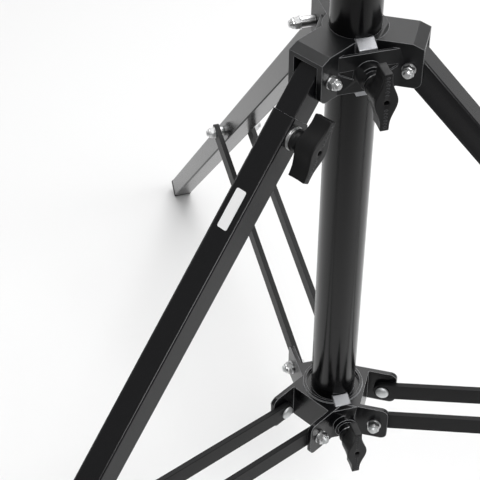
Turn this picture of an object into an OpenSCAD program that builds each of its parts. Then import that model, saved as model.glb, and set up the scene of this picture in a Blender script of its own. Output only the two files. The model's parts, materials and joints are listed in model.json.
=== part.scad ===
// Crank-up lighting stand: a black steel column on three folding legs, two telescopic risers,
// a hand-cranked rack drive and a 28.6 mm socket on top. Z is up, z = 0 is the floor, and the
// origin is under the middle of the stand's footprint box, so the column stands at y = axis_y.
// Leg A points along -Y and is the levelling leg; legs B and C follow at 120 degrees each.

/* [Column] */
// Outer diameter of the base column
column_d = 50; // [44:1:56]
// Wall of the base column
column_wall = 2; // [1.5:0.25:3]
// Height of the crank shaft above the floor
gear_h = 1590; // [1570:5:1700]

/* [Legs] */
// Height of the leg pivots above the floor
pivot_h = 797; // [760:1:840]
// Distance of the leg and strut pivots from the column axis
pivot_r = 56; // [55:0.5:60]
// Slope of the spread legs below the horizontal
leg_slope = 47.7; // [46:0.1:50]
// Width of the square leg tubes
leg_w = 27.2; // [25:0.2:29]
// Wall of legs B and C
leg_wall = 2; // [1.5:0.25:3]
// Wall of the levelling leg's outer tube
sleeve_wall = 1; // [0.8:0.1:1.4]
// Distance along the levelling leg from its pivot to the outer tube
sleeve_start = 45; // [42:1:60]
// Travel of the levelling leg
level_travel = 110; // [80:10:120]
// Thickness of the rubber feet
foot_t = 12; // [8:1:20]

/* [Struts] */
// Height between the leg pivots and the strut pivots of the spread stand
collar_gap = 487; // [470:1:500]
// Distance along a leg from its pivot to its strut
strut_at = 560; // [530:5:580]
// Height of the flat strut bars
bar_h = 21.6; // [18:0.2:24]
// Thickness of the strut bars
bar_t = 6.3; // [5:0.1:7]
// Distance from the leg's middle plane to the inner face of a bar
bar_in = 19.7; // [19:0.1:21]

/* [Collars] */
// Height of the upper collar above its pivots
collar_up = 27.4; // [25:0.2:30]
// Depth of the collars below their pivots
collar_down = 21; // [18:0.5:24]
// Thickness of the upper collar's ears
ear_t = 6.2; // [5:0.1:7]
// Thickness of the lower collar's ears
low_ear_t = 5; // [4:0.1:6]
// Reach of the upper ears beyond the pivots
ear_reach = 12.7; // [11:0.1:16]
// Reach of the lower ears beyond the pivots
low_ear_reach = 15; // [13:0.5:18]
// Width of the aluminium clamp shoes
shoe_w = 18.4; // [14:0.2:20]
// Radial thickness of the clamp shoes
shoe_t = 12.8; // [12:0.2:15]
// Height of the clamp shoes
shoe_h = 56.5; // [50:0.5:62]

/* [Knobs] */
// Length of a T-knob across its wings
knob_l = 63; // [50:1:66]
// Greatest width of a T-knob's face
knob_w = 23; // [18:0.5:26]
// Height of a T-knob from its foot to its face
knob_h = 29.5; // [26:0.5:34]
// Diameter of the T-knob studs, pivot bolts and screws
stud_d = 8; // [6:0.5:10]

/* [Risers] */
// Outer diameter of the cranked riser
riser_d = 35; // [34:0.5:36]
// Outer diameter of the upper riser
top_riser_d = 30; // [28:0.5:30.5]
// Wall of both risers
riser_wall = 1.8; // [1.2:0.1:2]
// Travel of the cranked riser
crank_travel = 750; // [500:10:800]
// Travel of the upper riser
top_travel = 700; // [400:10:750]
// Bore of the top socket
socket_d = 28.6; // [28:0.1:29]
// Depth of the top socket
socket_depth = 62; // [50:1:80]

/* [Crank] */
// Module of the rack and its pinion
rack_module = 2; // [1.8:0.1:2]
// Module of the gear pair
gear_module = 1.25; // [1.2:0.05:1.4]
// Teeth of the large gear
gear_teeth = 36; // [33:3:39]
// Diameter of the two shafts
shaft_d = 10; // [8:0.5:11]
// Length of the crank arm between its centres
crank_l = 125; // [90:5:130]
// Length of the crank grip
grip_l = 88; // [70:2:100]

/* [Fits] */
// Running clearance of a shaft or tube in its bore, on the radius
run = 0.08; // [0.05:0.01:0.1]
// Clearance between pieces that only pass each other
pass = 0.3; // [0.3:0.05:0.5]

/* [Hidden] */
$fn = 64;

// Directions of the legs and of the side that carries the knobs and the crank
AZ_A = -90;
AZ_B = 30;
AZ_C = 150;
AZ_KNOB = -30;

// Legs and feet
leg_half = leg_w / 2;
leg_top = 15;                                  // tube above the pivot
leg_end = (pivot_h + 2) / sin(leg_slope) - leg_half / tan(leg_slope);
tube_end = leg_end - foot_t;
inner_w = leg_w - 2 * sleeve_wall - 2 * run;   // levelling leg's inner tube
inner_wall = 1.8;
inner_end = strut_at + 85;
leg_knob_at = sleeve_start + 16.5;
guide_l = 30;
foot_out = pivot_r + leg_end * cos(leg_slope) + leg_half * sin(leg_slope);
axis_y = (foot_out - foot_out * sin(AZ_B) - leg_half * cos(AZ_B)) / 2;
label_at = 126;
label_l = 41;
label_w = 12;
label_t = 0.3;
label_round = 2;

// Struts
strut_h = pivot_h - collar_gap;                // height of the strut pivots
strut_dx = strut_at * cos(leg_slope);
strut_dz = collar_gap - strut_at * sin(leg_slope);
strut_len = norm([strut_dx, strut_dz]);
strut_rise = atan2(strut_dz, strut_dx);
bar_out = bar_in + bar_t;

// Pivot bolts and nuts
bolt_r = stud_d / 2;
nut_w = 1.625 * stud_d;                        // across the flats
nut_h = 0.75 * stud_d;
washer_t = 1.2;
washer_r = stud_d;
leg_nut_w = 1.425 * stud_d;                    // the smaller nuts at the leg pivots
leg_washer_r = 0.85 * stud_d;
thread_end = 3;
head_h = 0.5 * stud_d;
spacer_l = 15;

// Collars
column_r = column_d / 2;
collar_bore = column_r + run;
ear_in = leg_half + 0.7;
ear_out = ear_in + ear_t;
hollow_in = pivot_r - norm([leg_top, leg_half]) - 0.8;   // floor of the hollow in an upper bracket
low_ear_in = bar_out + pass;
low_ear_out = low_ear_in + low_ear_t;
ear_end = pivot_r + ear_reach;
low_ear_end = pivot_r + low_ear_reach;
ear_round = 8;
chamfer_l = 11;                                // sloping end of an upper bracket
chamfer_drop = 4.6;
roof_t = 5.4;
sleeve_r = column_r + 6.5;
shoe_out = column_r + shoe_t;
shoe_drop = 5;                                 // fall of a shoe's sloping top
web_t = 3;
web_depth = 16;                                 // from the top of the wall behind a knob to its floor
web_step = 0.4;                                // from a bracket's lower edge up to the wall's
web_face = shoe_out + web_t;                   // outer face of the upper collar's wall behind its knob
low_web_face = web_face + 3.7;
web_half = web_reach(web_face, (ear_in + ear_out) / 2);   // buried in the brackets at both ends
web_end = web_reach(web_face, ear_out) - 1;
low_web_half = web_reach(low_web_face, (low_ear_in + low_ear_out) / 2);
side_face = sleeve_r + 5;                      // flat face between the brackets away from the knob
web_up = collar_up - 6;
low_up = collar_up - 3;                        // lower collar's top above its pivots
low_slot = pivot_r - leg_half - 4.8;           // floor of the slots that folded legs lie in
rim_r = low_slot - 3.3;                        // raised rim round the column on the lower collar
rim_t = 3.2;
boss_r = knob_w / 2 + 1.5;
boss_face = web_face + 10.7;
neck_face = boss_face + 8;
knob_foot = neck_face + washer_t + 0.4;
knob_hub = 10;
knob_tip = 4.4;                                // half a wing's width at its tip
knob_waist = 8.6;                              // height of a wing's underside at the hub
wing_depth = 0.66 * knob_h;
KNOB_STEPS = [-1:0.125:1];

// Column, risers and crank case
column_foot = strut_h - collar_down;
case_half = 32;                                // half height of the crank case
column_top = gear_h + case_half;
column_in = column_r - column_wall;
riser_r = riser_d / 2;
riser_in = riser_r - riser_wall;
top_r = top_riser_d / 2;
top_in = top_r - riser_wall;
bush_flange = 4;
bush_l = 26;
riser_top = column_top + 62;
riser_stay = 180;                               // riser left below the pinion when it is right up
top_riser_stay = 160;
riser_foot = gear_h - crank_travel - riser_stay;
ring_l = 30;
socket_skirt = 40;                              // length of the socket around its riser
riser_collar_r = riser_r + 6;
riser_neck = riser_collar_r + 8;
riser_knob_foot = riser_neck + washer_t + 0.4;
riser_collar_foot = column_top + bush_flange + pass;
riser_collar_top = riser_top + 30;
riser_knob_z = riser_collar_top - 17;
top_riser_foot = riser_collar_top - top_travel - top_riser_stay;
top_riser_top = riser_collar_top + socket_skirt + pass;
socket_r = socket_d / 2;
socket_out = socket_r + 5;
socket_neck = socket_out + 8;
socket_knob_foot = socket_neck + washer_t + 0.4;
socket_foot = top_riser_top - socket_skirt;
socket_floor = top_riser_top + 6;
socket_top = socket_floor + socket_depth;
socket_knob_z = socket_floor + socket_depth / 2;

// Gears: stub teeth, with the pair's and the rack's play on the flanks
pressure = 20;
addendum = 0.7;
dedendum = 0.95;
flank_play = 0.36;
TOOTH_STEPS = [0:0.25:1];
pinion_teeth = 12;
rack_w = 8;
rack_pitch_x = sqrt(column_in * column_in - rack_w * rack_w / 4) - pass - addendum * rack_module;
rack_pitch = PI * rack_module;
rack_up = ceil(24 / rack_pitch);
rack_down = ceil((crank_travel + 24) / rack_pitch);
rack_tip_half = (rack_pitch / 2 - flank_play) / 2 - addendum * rack_module * tan(pressure);
rack_root_half = (rack_pitch / 2 - flank_play) / 2 + dedendum * rack_module * tan(pressure);
rack_root_x = rack_pitch_x - dedendum * rack_module;
rack_tip_x = rack_pitch_x + addendum * rack_module;
pinion_pitch_r = rack_module * pinion_teeth / 2;
pinion_x = rack_pitch_x + pinion_pitch_r;
gear_pitch_r = gear_module * gear_teeth / 2;
crank_pitch_r = gear_module * pinion_teeth / 2;
crank_x = pinion_x + gear_pitch_r + crank_pitch_r;
gear_y = column_r + 2.5;                       // near face of the large gear
gear_face = 6;
shaft_r = shaft_d / 2;
case_wall = 4;
case_back = -column_r - case_wall;
case_front = gear_y + gear_face + 3;           // seat of the cover
case_start = -18;
case_end = crank_x + 22 + case_wall;
cover_out = case_front + case_wall;
bush_r = shaft_r + 2;
arm_y = cover_out + 5;
arm_t = 6;
disc_y = -14;
disc_t = 4;
disc_r = 20;
pad_t = 3;
window_h = 2 * (pinion_pitch_r + addendum * rack_module + 1);
window_w = rack_w + 3;
cover_screws_at = [for (x = [case_start + 4, case_end - 5], z = [-1, 1]) [x, z * (case_half - 6)]];
cover_screw_r = 2;

// How far along the wall behind a knob it meets a plane that lies t from a leg's middle plane
function web_reach(face, t) = 2 * (face * sin(60) - t);
// A point x, t of the frame that is turned by az
function turned(az, x, t) = [x * cos(az) - t * sin(az), x * sin(az) + t * cos(az)];

// ---- placing ----

module at_axis(z = 0, az = 0) { translate([0, axis_y, z]) rotate([0, 0, az]) children(); }

// A leg's own frame: X runs down the leg from its pivot, Y is its sideways direction
module on_leg(az) { at_axis(pivot_h, az) translate([pivot_r, 0, 0]) rotate([0, leg_slope, 0]) children(); }

// A strut's own frame: X runs along the strut from its pivot on the lower collar
module on_strut(az) { at_axis(strut_h, az) translate([pivot_r, 0, 0]) rotate([0, -strut_rise, 0]) children(); }

// Turns a piece made along Z so that it lies along Y, at a distance y from the middle plane
module along_y(y = 0) { translate([0, y, 0]) rotate([-90, 0, 0]) children(); }

// ---- shared shapes ----

module ring(r_out, r_in, h) {
    difference() {
        cylinder(r = r_out, h = h);
        translate([0, 0, -1]) cylinder(r = r_in, h = h + 2);
    }
}

module square_tube(w, wall, l) {
    difference() {
        translate([0, -w / 2, -w / 2]) cube([l, w, w]);
        translate([-1, wall - w / 2, wall - w / 2]) cube([l + 2, w - 2 * wall, w - 2 * wall]);
    }
}

// A hexagonal lock nut along Z, standing on its washer at z = 0
module lock_nut(w = nut_w, washer = washer_r) {
    ring(washer, bolt_r + run, washer_t);
    translate([0, 0, washer_t]) difference() {
        union() {
            cylinder(r = w / sqrt(3), h = nut_h, $fn = 6);
            cylinder(r = 0.46 * w, h = nut_h + 1.6);
        }
        translate([0, 0, -1]) cylinder(r = bolt_r, h = nut_h + 4);
    }
}

function nut_stack() = washer_t + nut_h + 1.6;

// A domed head along -Z, its flat side at z = 0
module domed_head() {
    intersection() {
        translate([0, 0, stud_d - head_h]) sphere(r = stud_d);
        translate([0, 0, -head_h]) cylinder(r = stud_d - 0.3, h = head_h);
    }
}

// Face of a T-knob: widest in the middle, narrow at both ends
function knob_half(u) = knob_tip + (knob_w / 2 - knob_tip) * pow((1 + cos(180 * u)) / 2, 1.7);
function knob_outline() = concat(
    [for (u = KNOB_STEPS) [u * knob_l / 2, knob_half(u)]],
    [for (u = KNOB_STEPS) [-u * knob_l / 2, -knob_half(u)]]);

// Side of a T-knob: a slim foot that sweeps out to the two wings
function knob_side() = concat(
    [for (a = [0:15:90]) [knob_hub + (knob_l / 2 - knob_hub) * (1 - cos(a)),
        knob_waist + (knob_h - wing_depth - knob_waist) * sin(a)]],
    [[knob_l / 2, knob_h + 1], [0, knob_h + 1], [0, knob_waist]]);

// A T-knob along Z with its wings along X, its foot at z = 0
module t_knob_shape() {
    difference() {
        union() {
            intersection() {
                linear_extrude(height = knob_h) polygon(knob_outline());
                union() for (side = [0, 1]) mirror([side, 0, 0])
                    rotate([90, 0, 0]) translate([0, 0, -knob_w]) linear_extrude(height = 2 * knob_w)
                        polygon(knob_side());
            }
            cylinder(r = knob_hub, h = knob_h - wing_depth + 4);
            cylinder(r = knob_hub + 1.5, h = 2.5);
        }
        translate([0, 0, knob_h - 9]) cylinder(r = 2.6, h = 10);
        translate([0, 0, -1]) cylinder(r = bolt_r, h = knob_h - 12);
    }
}

// The stud moulded into a T-knob: reach is its length below the knob's foot
module knob_stud_shape(reach) {
    translate([0, 0, -reach]) cylinder(r = bolt_r, h = reach + knob_h - 13);
    translate([0, 0, -washer_t - 0.2]) ring(knob_hub + 1, bolt_r, washer_t);
}

// ---- lower collar ----

module ear_profile(x_in, x_out, down, up) {
    // outline of an ear seen from its side, with two round outer corners
    union() {
        translate([x_in, -down]) square([x_out - x_in - ear_round, down + up]);
        translate([x_in, ear_round - down]) square([x_out - x_in, down + up - 2 * ear_round]);
        for (y = [ear_round - down, up - ear_round]) translate([x_out - ear_round, y]) circle(r = ear_round);
    }
}

module ear_plate(t_in, t_out, x_in, x_out, down, up) {
    rotate([90, 0, 0]) translate([0, 0, -t_out]) linear_extrude(height = t_out - t_in)
        ear_profile(x_in, x_out, down, up);
}

// A wedge that fills the corner between two brackets, out to a flat face in the direction AZ
module wedge(az, face, half, down, up) {
    translate([0, 0, -down]) rotate([0, 0, az]) linear_extrude(height = down + up)
        polygon([[0, 0], [face, -half], [face, half]]);
}

// The upper collar's wedge behind its knob, open at the top between the wall and the sleeve
module knob_web() {
    difference() {
        wedge(AZ_KNOB, web_face, web_half, collar_down - web_step, web_up);
        rotate([0, 0, AZ_KNOB]) translate([-1, -web_face, web_up - web_depth])
            cube([web_face - web_t + 1, 2 * web_face, web_depth + 1]);
    }
}

// Triangular recesses beside the knob boss, which leave ribs running out from it
module web_recesses(az) {
    rotate([0, 0, az]) for (side = [0, 1]) mirror([0, side, 0])
        translate([web_face - 2, 0, 0]) rotate([90, 0, 90]) linear_extrude(height = 4)
            polygon([[boss_r + 1, 5], [web_end, 4.5], [web_end, 2], [boss_r + 1, -6]]);
}

// The boss that a T-knob's stud screws through
module knob_boss(az) {
    rotate([0, 0, az]) rotate([0, 90, 0]) {
        translate([0, 0, shoe_out + pass]) {
            cylinder(r = boss_r, h = boss_face - shoe_out - pass);
            cylinder(r = boss_r - 4, h = neck_face - shoe_out - pass);
        }
    }
}

module clamp_pocket(az, down, up) {
    rotate([0, 0, az]) {
        translate([0, -shoe_w / 2 - 0.15, -down - 1])
            cube([shoe_out + pass, shoe_w + 0.3, down + up + 2]);
        rotate([0, 90, 0]) cylinder(r = bolt_r + run, h = neck_face + 1);
    }
}

// Core of the lower collar from above, with a flat floor for each slot
module lower_core() {
    cross = low_ear_out / cos(30);
    polygon([for (az = [AZ_A, AZ_B, AZ_C]) each [
        turned(az, low_slot, -low_ear_out), turned(az, low_slot, low_ear_out), turned(az + 60, cross, 0)]]);
}

module lower_collar() {
    color("#26272a") at_axis(strut_h) difference() {
        union() {
            translate([0, 0, low_up - rim_t]) cylinder(r = rim_r, h = rim_t + 1.6);
            translate([0, 0, -collar_down]) linear_extrude(height = collar_down + low_up) lower_core();
            for (az = [AZ_A, AZ_B, AZ_C]) rotate([0, 0, az]) for (side = [0, 1]) mirror([0, side, 0])
                ear_plate(low_ear_in, low_ear_out, low_slot - 8, low_ear_end, collar_down, low_up);
            wedge(AZ_KNOB, low_web_face, low_web_half, collar_down - web_step, low_up - web_step);
            knob_boss(AZ_KNOB);
        }
        translate([0, 0, -collar_down - 1]) cylinder(r = collar_bore, h = collar_down + low_up + 3);
        translate([0, 0, low_up - rim_t]) cylinder(r = rim_r - rim_t, h = 2 * rim_t);
        clamp_pocket(AZ_KNOB, collar_down, low_up + 2);
        for (az = [AZ_A, AZ_B, AZ_C]) rotate([0, 0, az]) {
            translate([low_slot, -low_ear_in, -collar_down - 1])
                cube([low_ear_end, 2 * low_ear_in, collar_down + low_up + 3]);
            translate([pivot_r, 0, 0]) along_y(-pivot_r) cylinder(r = bolt_r + run, h = 2 * pivot_r);
        }
    }
}

// A clamp shoe whose top slopes down from the column
module shoe(z) {
    color("#c9ccd0") at_axis(z, AZ_KNOB) difference() {
        rotate([90, 0, 0]) translate([0, 0, -shoe_w / 2]) linear_extrude(height = shoe_w)
            polygon([[column_r - 4, -shoe_h / 2], [shoe_out, -shoe_h / 2], [shoe_out, shoe_h / 2 - shoe_drop],
                [column_r + 1, shoe_h / 2], [column_r - 4, shoe_h / 2]]);
        translate([0, 0, -shoe_h]) cylinder(r = column_r + run, h = 2 * shoe_h);
    }
}

module lower_clamp_shoe() { shoe(strut_h + low_up + 4.5 - shoe_h / 2); }

// Domed screws from inside the bars, six in all
module lower_pivot_screws() {
    color("#c4c6c8") for (az = [AZ_A, AZ_B, AZ_C], side = [0, 1])
        at_axis(strut_h, az) mirror([0, side, 0]) translate([pivot_r, 0, 0]) along_y(bar_in - pass) {
            domed_head();
            cylinder(r = bolt_r, h = low_ear_out - bar_in + pass + nut_stack() + thread_end);
        }
}

module lower_pivot_nuts() {
    color("#b9bbbd") for (az = [AZ_A, AZ_B, AZ_C], side = [0, 1])
        at_axis(strut_h, az) mirror([0, side, 0]) translate([pivot_r, 0, 0]) along_y(low_ear_out) lock_nut();
}

// A T-knob and its stud, turned to face AZ at height z
module knob_place(z, az, foot) { at_axis(z, az) rotate([0, 90, 0]) translate([0, 0, foot]) children(); }

module lower_t_knob() { color("#1b1b1c") knob_place(strut_h, AZ_KNOB, knob_foot) t_knob_shape(); }

module lower_knob_stud() {
    color("#b9bbbd") knob_place(strut_h, AZ_KNOB, knob_foot) knob_stud_shape(knob_foot - shoe_out - 0.1);
}

// ---- column and crank case ----

module column_tube() {
    color("#141416") difference() {
        at_axis(column_foot) ring(column_r, column_in, column_top - column_foot);
        at_axis(gear_h, AZ_KNOB) translate([column_in - 6, -window_w / 2, -window_h / 2])
            cube([column_wall + 12, window_w, window_h]);
    }
}

module column_plug() {
    color("#1d1d1e") at_axis(column_foot) {
        cylinder(r = column_in, h = 3);
        ring(column_in, column_in - 2.5, 18);
    }
}

// Nylon bush in the column's mouth, with a keyway for the rack
module column_bush() {
    color("#3a3a3c") at_axis(column_top - bush_l, AZ_KNOB) difference() {
        union() {
            cylinder(r = column_in, h = bush_l);
            translate([0, 0, bush_l]) cylinder(r = column_r, h = bush_flange);
        }
        translate([0, 0, -1]) cylinder(r = riser_r + run, h = bush_l + bush_flange + 2);
        translate([0, -rack_w / 2 - pass, -1]) cube([column_in + 0.1, rack_w + 2 * pass, bush_l + bush_flange + 2]);
    }
}

module case_outline() {
    circle(r = column_r + 5);
    translate([case_start, case_back]) square([case_end - case_start, case_front - case_back]);
}

module gear_housing() {
    color("#26272a") at_axis(gear_h, AZ_KNOB) difference() {
        translate([0, 0, -case_half]) linear_extrude(height = 2 * case_half) case_outline();
        translate([0, 0, -case_half - 1]) cylinder(r = column_r + run, h = 2 * case_half + 2);
        translate([column_r - 3, case_back + case_wall, case_wall - case_half])
            cube([case_end - case_wall - column_r + 3, case_front - case_back, 2 * (case_half - case_wall)]);
        translate([-10, column_r + 1.5, case_wall - case_half])
            cube([case_end - case_wall + 10, case_front, 2 * (case_half - case_wall)]);
        for (x = [pinion_x, crank_x]) translate([x, 0, 0]) along_y(case_back - 1) cylinder(r = bush_r, h = 10);
        for (p = cover_screws_at) translate([p[0], 0, p[1]]) along_y(case_front - 12)
            cylinder(r = cover_screw_r, h = 20);
    }
}

module gear_cover() {
    color("#2a2b2e") at_axis(gear_h, AZ_KNOB) difference() {
        translate([case_start, case_front, -case_half]) cube([case_end - case_start, case_wall, 2 * case_half]);
        for (x = [pinion_x, crank_x]) translate([x, 0, 0]) along_y(case_front - 1) cylinder(r = bush_r, h = 10);
        for (p = cover_screws_at) translate([p[0], 0, p[1]]) along_y(case_front - 1)
            cylinder(r = cover_screw_r + run, h = 10);
    }
}

module cover_screws() {
    color("#b9bbbd") at_axis(gear_h, AZ_KNOB) for (p = cover_screws_at) translate([p[0], 0, p[1]])
        along_y(cover_out) difference() {
            union() {
                translate([0, 0, -case_wall - 10]) cylinder(r = cover_screw_r, h = case_wall + 10);
                cylinder(r = 2 * cover_screw_r, h = 3);
            }
            translate([0, 0, 1.4]) cylinder(r = cover_screw_r, h = 3, $fn = 6);
        }
}

// Bronze bushes in the case and its cover, two for each shaft
module shaft_bushes() {
    color("#a8853f") at_axis(gear_h, AZ_KNOB) for (x = [pinion_x, crank_x], y = [case_back, case_front])
        translate([x, 0, 0]) along_y(y) ring(bush_r, shaft_r + run, case_wall);
}

// Friction pads that grip the crank's brake disc from both sides
module brake_pads() {
    color("#5a3d30") at_axis(gear_h, AZ_KNOB) {
        translate([crank_x + 8, disc_y - pass - pad_t, -8]) cube([case_end - case_wall - crank_x - 8, pad_t, 16]);
        translate([crank_x + 8, disc_y + disc_t + pass, -8]) cube([case_end - case_wall - crank_x - 8, pad_t, 16]);
    }
}

// ---- upper collar ----

module bracket_side() {
    // outline of an upper bracket seen from its side
    polygon([[0, -collar_down], [ear_end - ear_round, -collar_down], [ear_end, ear_round - collar_down],
        [ear_end, collar_up - chamfer_drop], [ear_end - chamfer_l, collar_up], [0, collar_up]]);
    translate([ear_end - ear_round, ear_round - collar_down]) circle(r = ear_round);
}

module upper_bracket() {
    rotate([90, 0, 0]) translate([0, 0, -ear_out]) linear_extrude(height = 2 * ear_out) bracket_side();
}

module bracket_hollow() {
    roof = collar_up - roof_t;
    lip = roof - chamfer_drop + 0.8;
    rotate([90, 0, 0]) translate([0, 0, -ear_in]) linear_extrude(height = 2 * ear_in)
        polygon([[hollow_in, -collar_down - 1], [ear_end + 1, -collar_down - 1], [ear_end + 1, lip],
            [ear_end - 2, lip], [ear_end - chamfer_l, roof], [hollow_in, roof]]);
}

module upper_collar() {
    color("#26272a") at_axis(pivot_h) difference() {
        union() {
            translate([0, 0, -collar_down]) cylinder(r = sleeve_r, h = collar_down + collar_up);
            for (az = [AZ_A, AZ_B, AZ_C]) {
                rotate([0, 0, az]) upper_bracket();
            }
            for (az = [AZ_B, AZ_C]) wedge(az + 60, side_face, side_face / 2, collar_down, collar_down);
            knob_web();
            knob_boss(AZ_KNOB);
        }
        translate([0, 0, -collar_down - 1]) cylinder(r = collar_bore, h = collar_down + collar_up + 2);
        clamp_pocket(AZ_KNOB, collar_down, collar_up);
        web_recesses(AZ_KNOB);
        for (az = [AZ_A, AZ_B, AZ_C]) rotate([0, 0, az]) {
            bracket_hollow();
            translate([pivot_r, 0, 0]) along_y(-pivot_r) cylinder(r = bolt_r + run, h = 2 * pivot_r);
            translate([pivot_r, nut_side(az) * (ear_out + 5), 0]) along_y(-5) cylinder(r = leg_washer_r + pass, h = 10);
        }
    }
}

module upper_clamp_shoe() { shoe(pivot_h + collar_up + 1.1 - shoe_h / 2); }

// The nut side of each leg's pivot: +1 or -1 along the leg's own Y
function nut_side(az) = az == AZ_B ? -1 : 1;
function spacer_of(az) = az == AZ_C ? spacer_l : 0;

module on_pivot(az) {
    at_axis(pivot_h, az) translate([pivot_r, 0, 0]) mirror([0, nut_side(az) < 0 ? 1 : 0, 0]) children();
}

module leg_pivot_bolts() {
    color("#b9bbbd") for (az = [AZ_A, AZ_B, AZ_C]) on_pivot(az) {
        along_y(-ear_out) cylinder(r = bolt_r, h = 2 * ear_out + spacer_of(az) + nut_stack() + thread_end);
        along_y(-ear_out - nut_h) cylinder(r = leg_nut_w / sqrt(3), h = nut_h, $fn = 6);
    }
}

module leg_pivot_nuts() {
    color("#b9bbbd") for (az = [AZ_A, AZ_B, AZ_C]) on_pivot(az) along_y(ear_out + spacer_of(az))
        lock_nut(leg_nut_w, leg_washer_r);
}

// Sleeve under the nut of leg C
module pivot_spacer() { color("#9b9da0") on_pivot(AZ_C) along_y(ear_out) ring(bolt_r + 1.6, bolt_r + run, spacer_l); }

module upper_t_knob() { color("#1b1b1c") knob_place(pivot_h, AZ_KNOB, knob_foot) t_knob_shape(); }

module upper_knob_stud() {
    color("#b9bbbd") knob_place(pivot_h, AZ_KNOB, knob_foot) knob_stud_shape(knob_foot - shoe_out - 0.1);
}

// ---- legs ----

module cross_hole(x, r) { translate([x, 0, 0]) along_y(-leg_w) cylinder(r = r, h = 2 * leg_w); }

module leg_a_inner_tube() {
    color("#1f2022") on_leg(AZ_A) difference() {
        translate([-leg_top, 0, 0]) square_tube(inner_w, inner_wall, leg_top + inner_end);
        cross_hole(0, bolt_r + run);
        cross_hole(strut_at, bolt_r + run);
    }
}

// Nylon guide on the end of the inner tube
module leg_a_guide() {
    color("#4a4a4c") on_leg(AZ_A) translate([inner_end, 0, 0]) {
        translate([-guide_l, -inner_w / 2 + inner_wall, -inner_w / 2 + inner_wall])
            cube([guide_l, inner_w - 2 * inner_wall, inner_w - 2 * inner_wall]);
        translate([0, -inner_w / 2, -inner_w / 2]) cube([5, inner_w, inner_w]);
    }
}

module leg_a_outer_tube() {
    color("#1f2022") on_leg(AZ_A) difference() {
        translate([sleeve_start, 0, 0]) square_tube(leg_w, sleeve_wall, tube_end - sleeve_start);
        translate([leg_knob_at, 0, 0]) along_y(0) cylinder(r = bolt_r + run, h = leg_w);
        for (side = [-1, 1]) translate([strut_at - level_travel, side * leg_half - 2, -bolt_r - run])
            cube([level_travel, 4, 2 * (bolt_r + run)]);
        cross_hole(strut_at - level_travel, bolt_r + run);
        cross_hole(strut_at, bolt_r + run);
    }
}
// Rubber foot: a pad as wide as the tube with a plug inside it, flattened where it meets the floor
module foot(az, wall) {
    on_leg(az) difference() {
        union() {
            translate([tube_end, -leg_half, -leg_half]) cube([foot_t, leg_w, leg_w]);
            translate([tube_end - 25, wall - leg_half, wall - leg_half])
                cube([25 + foot_t / 2, leg_w - 2 * wall, leg_w - 2 * wall]);
        }
        rotate([0, -leg_slope, 0]) translate([0, -leg_w, -pivot_h - 50]) cube([2 * leg_end, 2 * leg_w, 50]);
    }
}

module leg_a_foot() { color("#151515") foot(AZ_A, sleeve_wall); }

module leg_a_knob_boss() {
    color("#8f9194") on_leg(AZ_A) translate([leg_knob_at, 0, 0]) along_y(leg_half) ring(knob_hub + 2, bolt_r + run, 2);
}

// Blank label on the top face of the levelling leg
module leg_label() {
    color("#e9eaec") on_leg(AZ_A) translate([label_at, 0, leg_half]) linear_extrude(height = label_t) {
        translate([0, label_round - label_w / 2]) square([label_l, label_w - 2 * label_round]);
        translate([label_round, -label_w / 2]) square([label_l - 2 * label_round, label_w]);
        for (x = [label_round, label_l - label_round], y = [label_round - label_w / 2, label_w / 2 - label_round])
            translate([x, y]) circle(r = label_round);
    }
}

module leg_knob_place() {
    on_leg(AZ_A) translate([leg_knob_at, 0, 0]) along_y(leg_half + 2 + washer_t + 0.4) rotate([0, 0, 8]) children();
}

module leg_t_knob() { color("#1b1b1c") leg_knob_place() t_knob_shape(); }

module leg_knob_stud() {
    color("#b9bbbd") leg_knob_place() knob_stud_shape(leg_half + 2 + washer_t + 0.4 - inner_w / 2 - 0.1);
}

module plain_leg(az) {
    color("#1f2022") on_leg(az) difference() {
        translate([-leg_top, 0, 0]) square_tube(leg_w, leg_wall, leg_top + tube_end);
        cross_hole(0, bolt_r + run);
        cross_hole(strut_at, bolt_r + run);
    }
}

module leg_b_tube() { plain_leg(AZ_B); }
module leg_b_foot() { color("#151515") foot(AZ_B, leg_wall); }
module leg_c_tube() { plain_leg(AZ_C); }
module leg_c_foot() { color("#151515") foot(AZ_C, leg_wall); }

// ---- struts ----

module bar_outline() {
    translate([0, -bar_h / 2]) square([strut_len, bar_h]);
    for (x = [0, strut_len]) translate([x, 0]) circle(r = bar_h / 2);
}

module strut_bars(az) {
    color("#1f2022") on_strut(az) for (side = [0, 1]) mirror([0, side, 0]) difference() {
        rotate([90, 0, 0]) translate([0, 0, -bar_out]) linear_extrude(height = bar_t) bar_outline();
        for (x = [0, strut_len]) translate([x, 0, 0]) along_y(0) cylinder(r = bolt_r + run, h = 2 * bar_out);
    }
}

// A strut's upper pivot: sleeve, bolt and nut on each side of the leg
module strut_bolts(az) {
    color("#b9bbbd") on_strut(az) for (side = [0, 1]) mirror([0, side, 0]) translate([strut_len, 0, 0]) {
        along_y(leg_half + pass) ring(bolt_r + 2.5, bolt_r, bar_in - leg_half - pass);
        along_y(leg_half + pass) cylinder(r = bolt_r, h = bar_out - leg_half - pass + nut_stack() + thread_end);
        along_y(bar_out) lock_nut();
    }
}

module strut_a_bars() { strut_bars(AZ_A); }
module strut_a_bolts() { strut_bolts(AZ_A); }
module strut_b_bars() { strut_bars(AZ_B); }
module strut_b_bolts() { strut_bolts(AZ_B); }
module strut_c_bars() { strut_bars(AZ_C); }
module strut_c_bolts() { strut_bolts(AZ_C); }

// ---- risers ----

module riser_tube() { color("#c3c6ca") at_axis(riser_foot) ring(riser_r, riser_in, riser_top - riser_foot); }

// Steel rack on the riser's side; a tooth is centred on the pinion's height at rest
function rack_tooth(z) = [[rack_root_x, z - rack_root_half], [rack_tip_x, z - rack_tip_half],
    [rack_tip_x, z + rack_tip_half], [rack_root_x, z + rack_root_half]];

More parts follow.
